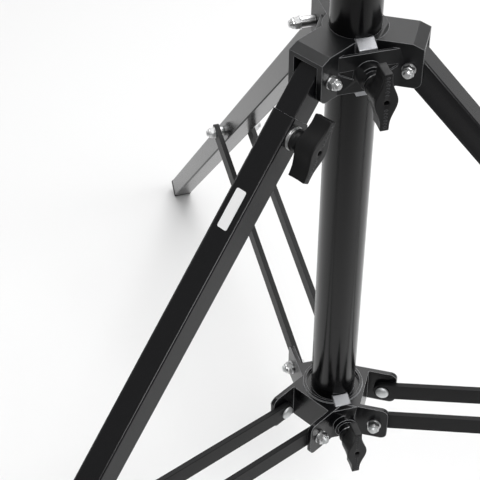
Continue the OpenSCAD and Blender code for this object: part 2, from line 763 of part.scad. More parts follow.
module riser_rack() {
    low = -(rack_down + 0.5) * rack_pitch;
    high = (rack_up + 0.5) * rack_pitch;
    color("#8d9093") at_axis(gear_h, AZ_KNOB) difference() {
        rotate([90, 0, 0]) translate([0, 0, -rack_w / 2]) linear_extrude(height = rack_w)
            polygon(concat([[0, low], [rack_root_x, low]],
                [for (i = [-rack_down:rack_up], p = rack_tooth(i * rack_pitch)) p],
                [[rack_root_x, high], [0, high]]));
        translate([0, 0, low - 1]) cylinder(r = riser_r, h = high - low + 2);
    }
}

// Nylon ring that guides the riser's foot in the column
module riser_guide() {
    color("#4a4a4c") at_axis(riser_foot) ring(column_in - run, riser_r, ring_l);
}

module riser_collar() {
    color("#26272a") at_axis(0, AZ_KNOB) difference() {
        union() {
            translate([0, 0, riser_collar_foot]) cylinder(r = riser_collar_r, h = riser_collar_top - riser_collar_foot);
            translate([0, 0, riser_knob_z]) rotate([0, 90, 0]) cylinder(r = boss_r - 4, h = riser_neck);
        }
        translate([0, 0, riser_collar_foot - 1]) cylinder(r = riser_r, h = riser_top - riser_collar_foot + 1);
        translate([0, 0, riser_top - 1]) cylinder(r = top_r + 3, h = 50);
        translate([0, 0, riser_knob_z]) rotate([0, 90, 0]) cylinder(r = bolt_r + run, h = 100);
    }
}

// Nylon bush between the riser collar and the upper riser
module riser_bush() {
    color("#4a4a4c") at_axis(riser_top, AZ_KNOB) difference() {
        ring(top_r + 3, top_r + run, riser_collar_top - riser_top);
        translate([0, 0, riser_knob_z - riser_top]) rotate([0, 90, 0]) cylinder(r = bolt_r + run, h = 100);
    }
}

module riser_t_knob() { color("#1b1b1c") knob_place(riser_knob_z, AZ_KNOB, riser_knob_foot) t_knob_shape(); }

module riser_knob_stud() {
    color("#b9bbbd") knob_place(riser_knob_z, AZ_KNOB, riser_knob_foot) knob_stud_shape(riser_knob_foot - top_r - 0.1);
}

module top_riser_tube() {
    color("#c3c6ca") at_axis(top_riser_foot) ring(top_r, top_in, top_riser_top - top_riser_foot);
}

module top_riser_guide() {
    color("#4a4a4c") at_axis(top_riser_foot - 4) {
        cylinder(r = riser_in - run, h = 4);
        cylinder(r = top_in, h = 24);
    }
}

module top_socket() {
    color("#26272a") at_axis(0, AZ_KNOB) difference() {
        union() {
            translate([0, 0, socket_foot]) cylinder(r = socket_out, h = socket_top - socket_foot);
            translate([0, 0, socket_knob_z]) rotate([0, 90, 0]) cylinder(r = boss_r - 4, h = socket_neck);
        }
        translate([0, 0, socket_foot - 1]) cylinder(r = top_r, h = top_riser_top - socket_foot + 1);
        translate([0, 0, socket_floor]) cylinder(r = socket_r, h = socket_depth + 1);
        translate([0, 0, socket_knob_z]) rotate([0, 90, 0]) cylinder(r = bolt_r + run, h = 100);
    }
}

module socket_t_knob() { color("#1b1b1c") knob_place(socket_knob_z, AZ_KNOB, socket_knob_foot) t_knob_shape(); }

module socket_knob_stud() {
    color("#b9bbbd") knob_place(socket_knob_z, AZ_KNOB, socket_knob_foot)
        knob_stud_shape(socket_knob_foot - socket_r - 0.1);
}

// ---- gears and crank ----

// Half the angle that a tooth takes up at radius r, in degrees
function involute(a) = tan(a) * 180 / PI - a;
function tooth_half(r, m, z) =
    let (pitch_r = m * z / 2, base_r = pitch_r * cos(pressure))
    (PI * m / 2 - flank_play) / pitch_r * 90 / PI + involute(pressure)
        - involute(r > base_r ? acos(base_r / r) : 0);

function tooth(m, z, at) =
    let (pitch_r = m * z / 2, low = pitch_r - dedendum * m, span = (addendum + dedendum) * m)
    concat(
        [for (s = TOOTH_STEPS) let (r = low + s * span, a = at - tooth_half(r, m, z)) [r * cos(a), r * sin(a)]],
        [for (s = TOOTH_STEPS) let (r = low + (1 - s) * span, a = at + tooth_half(r, m, z)) [r * cos(a), r * sin(a)]]);

// A spur gear along Z with a tooth centred on the angle first
module spur(m, z, width, first = 0) {
    linear_extrude(height = width)
        polygon([for (i = [0:z - 1], p = tooth(m, z, first + i * 360 / z)) p]);
}

// Shaft of the rack pinion, which is cut on it
module pinion_shaft() {
    color("#8d9093") at_axis(gear_h, AZ_KNOB) translate([pinion_x, 0, 0]) {
        along_y(case_back) cylinder(r = shaft_r, h = cover_out - case_back);
        along_y(-rack_w / 2) spur(rack_module, pinion_teeth, rack_w, 180 / pinion_teeth);
    }
}

module drive_gear() {
    color("#8d9093") at_axis(gear_h, AZ_KNOB) translate([pinion_x, 0, 0]) along_y(gear_y) difference() {
        spur(gear_module, gear_teeth, gear_face, 180 / gear_teeth);
        translate([0, 0, -1]) cylinder(r = shaft_r, h = gear_face + 2);
    }
}

module crank_shaft() {
    color("#8d9093") at_axis(gear_h, AZ_KNOB) translate([crank_x, 0, 0]) {
        along_y(case_back) cylinder(r = shaft_r, h = arm_y + arm_t + 12 - case_back);
        along_y(gear_y) spur(gear_module, pinion_teeth, gear_face, 0);
    }
}

module brake_disc() {
    color("#7d8084") at_axis(gear_h, AZ_KNOB) translate([crank_x, 0, 0]) along_y(disc_y) ring(disc_r, shaft_r, disc_t);
}

// Crank arm: a flat bar that hangs down at rest
module crank_arm() {
    color("#26272a") at_axis(gear_h, AZ_KNOB) translate([crank_x, 0, 0]) along_y(arm_y) difference() {
        union() {
            linear_extrude(height = arm_t) {
                translate([-11, 0]) square([22, crank_l]);
                circle(r = 15);
                translate([0, crank_l]) circle(r = 11);
            }
            translate([0, 0, -2]) cylinder(r = 12, h = arm_t + 2);
        }
        translate([0, 0, -4]) cylinder(r = shaft_r, h = arm_t + 6);
        translate([0, crank_l, -1]) cylinder(r = bolt_r, h = arm_t + 2);
    }
}

module crank_nut() {
    color("#b9bbbd") at_axis(gear_h, AZ_KNOB) translate([crank_x, 0, 0]) along_y(arm_y + arm_t) difference() {
        cylinder(r = 1.75 * shaft_r, h = 7, $fn = 6);
        translate([0, 0, -1]) cylinder(r = shaft_r, h = 10);
    }
}

// Steel pin that the grip turns on, with a head that keeps it
module grip_pin() {
    color("#b9bbbd") at_axis(gear_h, AZ_KNOB) translate([crank_x, 0, -crank_l]) along_y(arm_y) {
        cylinder(r = bolt_r, h = arm_t + 1 + grip_l);
        translate([0, 0, arm_t + 1 + grip_l + pass]) cylinder(r = bolt_r + 2.5, h = 2.5);
        translate([0, 0, arm_t + grip_l]) cylinder(r = bolt_r - 1, h = 3);
    }
}

module crank_grip() {
    color("#1b1b1c") at_axis(gear_h, AZ_KNOB) translate([crank_x, 0, -crank_l]) along_y(arm_y + arm_t + 1)
        rotate_extrude() polygon([[bolt_r + run, 0], [9, 0], [11, 2], [13, grip_l * 0.35], [13, grip_l * 0.7],
            [11.5, grip_l - 6], [8, grip_l], [bolt_r + run, grip_l]]);
}

lower_collar();
lower_clamp_shoe();
lower_pivot_screws();
lower_pivot_nuts();
lower_t_knob();
lower_knob_stud();
column_tube();
column_plug();
column_bush();
gear_housing();
gear_cover();
cover_screws();
shaft_bushes();
brake_pads();
upper_collar();
upper_clamp_shoe();
leg_pivot_bolts();
leg_pivot_nuts();
pivot_spacer();
upper_t_knob();
upper_knob_stud();
leg_a_inner_tube();
leg_a_guide();
leg_a_outer_tube();
leg_a_foot();
leg_a_knob_boss();
leg_label();
leg_t_knob();
leg_knob_stud();
leg_b_tube();
leg_b_foot();
leg_c_tube();
leg_c_foot();
strut_a_bars();
strut_a_bolts();
strut_b_bars();
strut_b_bolts();
strut_c_bars();
strut_c_bolts();
riser_tube();
riser_rack();
riser_guide();
riser_collar();
riser_bush();
riser_t_knob();
riser_knob_stud();
pinion_shaft();
drive_gear();
crank_shaft();
brake_disc();
crank_arm();
crank_nut();
grip_pin();
crank_grip();
top_riser_tube();
top_riser_guide();
top_socket();
socket_t_knob();
socket_knob_stud();
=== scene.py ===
"""Crank lighting stand: rounded castings, tubes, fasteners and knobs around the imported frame.

Every length is in metres. A piece's place is in its mesh, and each piece rides on a body of the frame.
"""

import json
import logging
import math
from dataclasses import dataclass, field
from enum import Enum
from typing import Any, Dict, List, Optional, Sequence, Tuple

import bmesh
import bpy
import numpy as np
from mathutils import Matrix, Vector

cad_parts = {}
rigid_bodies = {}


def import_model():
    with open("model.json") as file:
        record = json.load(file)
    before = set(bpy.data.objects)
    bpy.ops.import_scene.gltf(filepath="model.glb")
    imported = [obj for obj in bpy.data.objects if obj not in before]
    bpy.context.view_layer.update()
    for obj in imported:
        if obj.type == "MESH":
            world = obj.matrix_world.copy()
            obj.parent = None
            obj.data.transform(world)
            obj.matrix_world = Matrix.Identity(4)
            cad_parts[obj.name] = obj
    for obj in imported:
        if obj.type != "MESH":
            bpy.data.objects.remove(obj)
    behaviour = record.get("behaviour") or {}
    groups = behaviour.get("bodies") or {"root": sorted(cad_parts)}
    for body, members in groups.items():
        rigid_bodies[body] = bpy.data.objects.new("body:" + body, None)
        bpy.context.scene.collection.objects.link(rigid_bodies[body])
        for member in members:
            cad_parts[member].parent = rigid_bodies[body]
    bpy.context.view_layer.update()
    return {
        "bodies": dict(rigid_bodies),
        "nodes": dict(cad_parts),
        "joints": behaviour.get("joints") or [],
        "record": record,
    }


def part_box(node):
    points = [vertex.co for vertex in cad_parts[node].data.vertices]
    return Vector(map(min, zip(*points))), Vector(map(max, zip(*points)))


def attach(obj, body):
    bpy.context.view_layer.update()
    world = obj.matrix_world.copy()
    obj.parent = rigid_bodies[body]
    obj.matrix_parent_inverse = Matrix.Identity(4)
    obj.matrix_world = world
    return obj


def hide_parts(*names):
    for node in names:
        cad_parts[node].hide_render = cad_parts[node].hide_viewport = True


LOG = logging.getLogger("stand")

MM = 0.001
Point = Sequence[float]
Pair = Tuple[float, float]
Triple = Tuple[float, float, float]
Tree = bpy.types.NodeTree
Socket = bpy.types.NodeSocket
Thing = bpy.types.Object

# The legs and their braces, as the nodes' names have them
LEGS = ("a", "b", "c")


class Shading(Enum):
    """Angle in degrees above which an edge between two faces stays sharp."""

    ROUND = 50.0
    HARD = 28.0


# ---------------------------------------------------------------- places


@dataclass(frozen=True)
class Place:
    """A right-handed frame of its own for a piece: an origin and three unit axes, in the object's frame."""

    origin: Triple
    x: Triple = (1.0, 0.0, 0.0)
    y: Triple = (0.0, 1.0, 0.0)
    z: Triple = (0.0, 0.0, 1.0)

    def world(self, points: np.ndarray) -> np.ndarray:
        """Moves local points of shape (..., 3) into the object's frame."""
        axes = np.array([self.x, self.y, self.z])
        return points @ axes + np.array(self.origin)

    def shifted(self, along: float) -> "Place":
        """The same frame, moved along its own Z."""
        origin = np.array(self.origin) + along * np.array(self.z)
        return Place(tuple(origin), self.x, self.y, self.z)


def place_along(origin: Point, axis: Point, near: Point = (0.0, 0.0, 1.0)) -> Place:
    """A frame whose Z is the given axis and whose X lies as near as it can to another direction.

    Args:
        origin: Where the frame stands.
        axis: Direction of its Z.
        near: Direction that X leans to.

    Returns:
        The frame.
    """
    z = np.array(axis, float) / np.linalg.norm(axis)
    x = np.array(near, float) - np.dot(near, z) * z
    x = x / np.linalg.norm(x)
    y = np.cross(z, x)
    return Place(tuple(origin), tuple(x), tuple(y), tuple(z))


class Frame:
    """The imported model: its nodes, the body that each is on, and its joints by name."""

    def __init__(self, loaded: Dict[str, Any]) -> None:
        """Keeps the loaded nodes, bodies and joints."""
        self.nodes: Dict[str, Thing] = loaded["nodes"]
        self.joints: Dict[str, Dict[str, Any]] = {j["name"]: j for j in loaded["joints"]}
        groups = loaded["record"]["behaviour"]["bodies"]
        self.body_of: Dict[str, str] = {n: body for body, nodes in groups.items() for n in nodes}
        low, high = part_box("column_tube")
        self.axis_y: float = (low.y + high.y) / 2

    def hinge(self, name: str) -> Tuple[np.ndarray, np.ndarray]:
        """Position and unit axis of a hinge."""
        joint = self.joints[name]
        axis = np.array(joint["axis"], float)
        return np.array(joint["pos_m"], float), axis / np.linalg.norm(axis)


# ---------------------------------------------------------------- colours and nodes

# Numbers of a Mix node's colour sockets, because its other types share their names
MIX_FIRST, MIX_SECOND, MIX_OUT = 6, 7, 2

MOTTLE_DETAIL = 4.0
GRAIN_DETAIL = 2.0
GRAIN_HARSHNESS = 0.6
PLAIN_HARSHNESS = 0.5
LEAST_ROUGHNESS = 0.02

# Rays that look for edges near a point, to ease its normal and to place the painted edge highlight
EASE_SAMPLES, PAINTED_HIGHLIGHT_SAMPLES = 6, 8
# Cosines between the eased normal and the true one at which the painted edge highlight starts and is complete
PAINTED_HIGHLIGHT_START, PAINTED_HIGHLIGHT_FULL = 0.99, 0.90


def srgb(code: str) -> Tuple[float, float, float, float]:
    """Turns an sRGB hex code into linear colour.

    Args:
        code: Six hex digits after a hash.

    Returns:
        Linear red, green, blue and an alpha of 1.
    """
    parts = np.array([int(code[i : i + 2], 16) for i in (1, 3, 5)]) / 255.0
    linear = np.where(parts <= 0.04045, parts / 12.92, ((parts + 0.055) / 1.055) ** 2.4)
    return (float(linear[0]), float(linear[1]), float(linear[2]), 1.0)


def add_node(
    tree: Tree,
    kind: str,
    settings: Optional[Dict[Any, Any]] = None,
    links: Optional[Dict[Any, Any]] = None,
) -> bpy.types.Node:
    """Adds a node, sets it and links its inputs.

    Args:
        tree: The material's node tree.
        kind: The node's type.
        settings: Attributes by name, or input values by socket name or number where no attribute has it.
        links: Output sockets by the name or number of the input that each one feeds.

    Returns:
        The new node.
    """
    node = tree.nodes.new(kind)
    for name, value in (settings or {}).items():
        if isinstance(name, str) and hasattr(node, name):
            setattr(node, name, value)
        else:
            node.inputs[name].default_value = value
    for name, output in (links or {}).items():
        tree.links.new(output, node.inputs[name])
    return node


def map_range(tree: Tree, value: Socket, start: Pair, end: Pair, smooth: bool = False) -> Socket:
    """Carries a value from one range to another.

    Args:
        tree: The node tree.
        value: The value's socket.
        start: A value and what becomes of it, and of any beyond it.
        end: The same for the range's other end.
        smooth: Whether the change is eased at both ends.

    Returns:
        The result's socket.
    """
    settings = {
        "interpolation_type": "SMOOTHSTEP" if smooth else "LINEAR",
        "From Min": start[0],
        "From Max": end[0],
        "To Min": start[1],
        "To Max": end[1],
    }
    return add_node(tree, "ShaderNodeMapRange", settings, {"Value": value}).outputs["Result"]


def mix_colours(tree: Tree, share: Socket, first: Any, second: str) -> Socket:
    """Mixes a colour, given as a hex code or a socket, with a share of a second one."""
    settings = {"data_type": "RGBA", MIX_SECOND: srgb(second)}
    node = add_node(tree, "ShaderNodeMix", settings, {"Factor": share})
    if isinstance(first, str):
        node.inputs[MIX_FIRST].default_value = srgb(first)
    else:
        tree.links.new(first, node.inputs[MIX_FIRST])
    return node.outputs[MIX_OUT]


@dataclass(frozen=True)
class Finish:
    """A surface: its colour with a fine mottle, its gloss, and the grain that its making leaves.

    The mottle has a size in millimetres and how far the roughness swings with it. The grain has a size and
    a depth in millimetres, and a strength. Where edge_round isn't 0, edges take light as if they had that
    radius, and a painted highlight pales them towards the edge colour.
    """

    name: str
    colour: str
    mottle_colour: str
    roughness: float
    mottle: Pair
    grain: Triple
    metallic: float = 0.0
    ior: float = 1.5
    edge_round: float = 0.0
    # Colour of the painted highlight along edges
    edge_highlight_colour: str = "#7f8082"

    def material(self) -> bpy.types.Material:
        """Builds the finish as a material on Object coordinates, once."""
        made = bpy.data.materials.get(self.name)
        if made is not None:
            return made
        made = bpy.data.materials.new(self.name)
        made.use_nodes = True
        tree = made.node_tree
        shader = tree.nodes["Principled BSDF"]
        shader.inputs["Metallic"].default_value = self.metallic
        shader.inputs["IOR"].default_value = self.ior
        where = add_node(tree, "ShaderNodeTexCoord").outputs["Object"]
        mottle = self.noise(tree, where, self.mottle[0], MOTTLE_DETAIL, PLAIN_HARSHNESS)
        colour = mix_colours(tree, mottle, self.colour, self.mottle_colour)
        # Painted highlight: the colour pales along edges
        if self.edge_round > 0:
            colour = self.painted_edge_highlight(tree, colour)
        tree.links.new(colour, shader.inputs["Base Color"])
        smoothest = max(self.roughness - self.mottle[1], LEAST_ROUGHNESS)
        gloss = map_range(tree, mottle, (0.0, smoothest), (1.0, self.roughness + self.mottle[1]))
        tree.links.new(gloss, shader.inputs["Roughness"])
        size, depth, strength = self.grain
        grain = self.noise(tree, where, size, GRAIN_DETAIL, GRAIN_HARSHNESS)
        settings = {"Strength": strength, "Distance": depth * MM}
        bump = add_node(tree, "ShaderNodeBump", settings, {"Height": grain})
        if self.edge_round > 0:
            tree.links.new(self.eased(tree, EASE_SAMPLES), bump.inputs["Normal"])
        tree.links.new(bump.outputs["Normal"], shader.inputs["Normal"])
        return made

    def noise(self, tree: Tree, where: Socket, size: float, detail: float, harshness: float) -> Socket:
        """Noise of a feature size in millimetres at a place."""
        settings = {"Scale": 1.0 / (size * MM), "Detail": detail, "Roughness": harshness}
        return add_node(tree, "ShaderNodeTexNoise", settings, {"Vector": where}).outputs["Fac"]

    def eased(self, tree: Tree, samples: int) -> Socket:
        """The normal that the surface has when its edges are rounded."""
        settings = {"samples": samples, "Radius": self.edge_round}
        return add_node(tree, "ShaderNodeBevel", settings).outputs["Normal"]

    def painted_edge_highlight(self, tree: Tree, colour: Socket) -> Socket:
        """Paints a highlight along edges: the colour pales there towards the edge colour, as if the edges
        caught light.

        An edge is found by how far its eased normal leans from its own.
        """
        own = add_node(tree, "ShaderNodeNewGeometry").outputs["Normal"]
        links = {0: self.eased(tree, PAINTED_HIGHLIGHT_SAMPLES), 1: own}
        same = add_node(tree, "ShaderNodeVectorMath", {"operation": "DOT_PRODUCT"}, links)
        # Share of the painted edge highlight, from how far the surface turns near the point
        highlight_share = map_range(tree, same.outputs["Value"], (PAINTED_HIGHLIGHT_START, 0.0), (PAINTED_HIGHLIGHT_FULL, 1.0))
        return mix_colours(tree, highlight_share, colour, self.edge_highlight_colour)


# Powder coat on cast aluminium: a fine pebbled skin, sprayed and baked, that scatters light in grains; its
# edges carry a painted highlight
CASTING_COAT = Finish(
    "fine_texture_powder_coat", "#060608", "#141516", 0.35, ior=1.38, mottle=(1.3, 0.1),
    grain=(0.8, 0.13, 0.8), edge_round=1.0 * MM,
)
# The same coat over a smoother casting: it runs glossier and darker, and its edges carry a brighter painted
# highlight
SMOOTH_COAT = Finish(
    "smooth_black_casting_coat", "#060608", "#0f0f11", 0.25, ior=1.36, mottle=(2, 0.05),
    grain=(1.2, 0.05, 0.5), edge_round=1.0 * MM, edge_highlight_colour="#a3a4a6",
)
# Baked gloss lacquer on drawn steel tube: nearly a black mirror, a little softened by orange peel
GLOSS_LACQUER = Finish(
    "gloss_black_lacquer", "#060608", "#090909", 0.20, ior=1.41, mottle=(12, 0.02), grain=(5, 0.01, 0.25),
)
# Smooth powder coat on square steel tube and flat bar: satin, so it mirrors broad shapes only
SATIN_COAT = Finish(
    "satin_black_powder_coat", "#0b0b0d", "#111113", 0.20, ior=1.41, mottle=(6, 0.03),
    grain=(1.2, 0.01, 0.35),
)
# Dry black coat of the brace bars: thin over bar stock, so duller than on the tubes, with a faint painted
# highlight on its edges
BAR_COAT = Finish(
    "dry_black_bar_coat", "#08080a", "#0e0e0f", 0.52, ior=1.33, mottle=(2, 0.05), grain=(0.8, 0.02, 0.5),
    edge_round=0.7 * MM, edge_highlight_colour="#4a4b4d",
)
# Bright zinc plate on steel fasteners: silvery with a faint warm and cool cloud
ZINC_PLATE = Finish(
    "bright_zinc_plate", "#dcdddf", "#c3c3c1", 0.30, metallic=1.0, mottle=(4, 0.06), grain=(0.6, 0.01, 0.3),
)
# Tumbled zinc plate of the domed screws: the same silver, dulled all over
DULL_ZINC = Finish(
    "tumbled_zinc_plate", "#e4e6e6", "#d2d4d4", 0.52, metallic=0.75, mottle=(5, 0.05), grain=(0.5, 0.01, 0.4),
)
# Sawn end of the steel sleeve, where the coat has chipped off the rim
SAWN_STEEL = Finish(
    "sawn_steel_rim", "#eceeef", "#dcdee0", 0.45, metallic=0.25, mottle=(1.5, 0.08), grain=(0.4, 0.02, 0.4),
)
# Milled aluminium with a sanded skin, left bare
RAW_ALUMINIUM = Finish(
    "raw_milled_aluminium", "#b3b4b7", "#97989b", 0.42, metallic=1.0, mottle=(1.0, 0.08),
    grain=(0.6, 0.05, 0.5),
)
# Polished chrome on steel tube
CHROME = Finish(
    "bright_chrome", "#d7d9dc", "#cfd2d6", 0.07, metallic=1.0, mottle=(30, 0.015), grain=(8, 0.004, 0.2),
)
# Machined steel of gears and shafts, lightly oiled, with turning marks
MACHINED_STEEL = Finish(
    "machined_steel", "#8f9193", "#6e7073", 0.32, metallic=1.0, mottle=(2, 0.08), grain=(0.4, 0.02, 0.4),
)
# Sintered bronze of the shaft bushes: porous and brownish gold
SINTERED_BRONZE = Finish(
    "sintered_bronze", "#a57c45", "#7c5a30", 0.45, metallic=1.0, mottle=(0.6, 0.1), grain=(0.3, 0.03, 0.5),
)
# Glass-filled nylon, moulded against a spark-eroded tool: dry, even and faintly speckled, with a painted
# highlight on its edges
FILLED_NYLON = Finish(
    "glass_filled_nylon", "#0a0a0b", "#121213", 0.40, ior=1.36, mottle=(1.2, 0.07), grain=(0.45, 0.04, 0.6),
    edge_round=0.8 * MM, edge_highlight_colour="#4c4d4f",
)
# Acetal of bushes and guides, turned: a plain waxy grey
ACETAL = Finish("plain_acetal", "#3a3a3c", "#444446", 0.38, mottle=(8, 0.04), grain=(0.8, 0.01, 0.3))
# Moulded rubber of the feet: matt, dusty in its grain
RUBBER = Finish("moulded_rubber", "#141414", "#1f1f1e", 0.78, mottle=(2.5, 0.08), grain=(0.8, 0.08, 0.7))
# Matt white film of the blank plate on the sleeve
WHITE_FILM = Finish("matt_white_film", "#f6f6f6", "#f1f1f2", 0.42, mottle=(10, 0.04), grain=(1.5, 0.01, 0.3))
# Pressed lining of the brake pads: brown with bright and dark specks
BRAKE_LINING = Finish(
    "pressed_brake_lining", "#5c4336", "#33261f", 0.85, mottle=(0.8, 0.1), grain=(0.5, 0.06, 0.7),
)
# Nylon ring in a lock nut: translucent off-white
NUT_INSERT = Finish("lock_nut_nylon", "#cfd3d2", "#c2c7c8", 0.5, mottle=(4, 0.05), grain=(1, 0.01, 0.3))


# ---------------------------------------------------------------- surfaces


def grid_faces(rows: int, columns: int, closed: bool) -> List[List[int]]:
    """Faces of a grid of points whose columns close on themselves.

    Args:
        rows: Points along the profile.
        columns: Points around.
        closed: Whether the rows close on themselves too. If not, each end gets a face of its own.

    Returns:
        The faces, as lists of point numbers.
    """
    row, column = np.arange(rows if closed else rows - 1)[:, None], np.arange(columns)
    here, above = row * columns, (row + 1) % rows * columns
    after = (column + 1) % columns
    quads = np.stack([here + column, here + after, above + after, above + column], axis=-1)
    faces = quads.reshape(-1, 4).tolist()
    if not closed:
        faces.append(list(range(columns))[::-1])
        faces.append(list(range((rows - 1) * columns, rows * columns)))
    return faces


def rounded(corners: Sequence[Triple], steps: int = 4) -> np.ndarray:
    """A profile with round corners.

    Each corner is replaced by a quadratic curve from a point before it to a point after it, the
    corner's own radius away, so a radius of 0 keeps it sharp.

    Args:
        corners: Radius from the axis, height, and rounding, of each corner in order.
        steps: Points along each round corner.

    Returns:
        An array of (radius, height).
    """
    data = np.array(corners, float)
    flat, reach = data[:, :2], data[:, 2]
    made: List[np.ndarray] = []
    for i, corner in enumerate(flat):
        if reach[i] <= 0:
            made.append(corner[None, :])
            continue
        back, ahead = flat[i - 1] - corner, flat[(i + 1) % len(flat)] - corner
        start = corner + back / np.linalg.norm(back) * reach[i]
        stop = corner + ahead / np.linalg.norm(ahead) * reach[i]
        t = np.linspace(0, 1, steps + 1)[:, None]
        made.append((1 - t) ** 2 * start + 2 * t * (1 - t) * corner + t**2 * stop)
    return np.vstack(made)


def full_turn(around: int) -> np.ndarray:
    """Evenly spaced angles once round."""
    return np.linspace(0, 2 * math.pi, around, endpoint=False)


def round_axis(radius: np.ndarray, angle: np.ndarray, height: np.ndarray) -> np.ndarray:
    """Points (x, y, z) at each radius, angle and height, which spread to one grid."""
    grid = np.broadcast_arrays(radius * np.cos(angle), radius * np.sin(angle), height)
    return np.stack(grid, axis=-1).reshape(-1, 3)


def turned_surface(profile: np.ndarray, around: int) -> np.ndarray:
    """A surface of revolution: each (radius, height) of the profile is carried once round the Z axis."""
    return round_axis(profile[:, :1], full_turn(around), profile[:, 1:])


def hexagon_radius(angle: np.ndarray, flats: float) -> np.ndarray:
    """Distance from a hexagon's middle to its edge at each angle.

    It is half the width over the cosine of the angle to the middle of the nearest side.
    """
    off = np.mod(angle, math.pi / 3) - math.pi / 6
    return flats / 2 / np.cos(off)


def new_object(name: str, data: bpy.types.ID) -> Thing:
    """Makes an object of a mesh, lamp or camera, at the origin, in the scene."""
    made = bpy.data.objects.new(name, data)
    bpy.context.scene.collection.objects.link(made)
    return made


def read_vectors(items: Any, name: str) -> np.ndarray:
    """Reads a vector of each of a mesh's vertices or faces, as an array of shape (n, 3)."""
    flat = np.zeros(len(items) * 3, np.float32)
    items.foreach_get(name, flat)
    return flat.reshape(-1, 3)


def finish_mesh(piece: Thing, shading: Shading) -> Thing:
    """Shades a mesh smooth, apart from edges sharper than the shading's angle."""
    mesh = piece.data
    mesh.polygons.foreach_set("use_smooth", np.ones(len(mesh.polygons), bool))
    mesh.set_sharp_from_angle(angle=math.radians(shading.value))
    mesh.update()
    return piece


def face_outwards(piece: Thing) -> None:
    """Turns every face of a piece of closed shells outwards."""
    shape = bmesh.new()
    shape.from_mesh(piece.data)
    bmesh.ops.recalc_face_normals(shape, faces=shape.faces)
    shape.to_mesh(piece.data)
    shape.free()


@dataclass
class Skin:
    """Vertices and faces gathered from several surfaces into one piece, with a material for each face."""

    points: List[np.ndarray] = field(default_factory=list)
    faces: List[List[int]] = field(default_factory=list)
    slots: List[int] = field(default_factory=list)
    count: int = 0

    def add(self, points: np.ndarray, faces: Sequence[Sequence[int]], slot: int = 0) -> None:
        """Adds a surface's points and faces under a material's number."""
        self.faces.extend([[i + self.count for i in face] for face in faces])
        self.slots.extend([slot] * len(faces))
        self.points.append(points)
        self.count += len(points)

    def turn(
        self, place: Place, profile: np.ndarray, around: int, closed: bool = True, slot: int = 0
    ) -> None:
        """Adds a profile of (radius, height), closed or with flat ends, turned round a place's Z axis."""
        points = place.world(turned_surface(profile, around))
        self.add(points, grid_faces(len(profile), around, closed), slot)

    def piece(self, name: str, finishes: Sequence[Finish], shading: Shading) -> Thing:
        """Makes the gathered surfaces one object.

        Args:
            name: The piece's name.
            finishes: Its materials, in the order of the slots.
            shading: How its edges are shaded.

        Returns:
            The new object, at the origin.
        """
        mesh = bpy.data.meshes.new(name)
        mesh.from_pydata(np.vstack(self.points).tolist(), [], self.faces)
        mesh.polygons.foreach_set("material_index", np.array(self.slots, np.int32))
        for finish in finishes:
            mesh.materials.append(finish.material())
        mesh.validate()
        return finish_mesh(new_object(name, mesh), shading)


# ---------------------------------------------------------------- pieces that stand for nodes

# Rows of a node, its finish, the width of its rounding and the faces across that
SoftRow = Tuple[str, Finish, float, int]


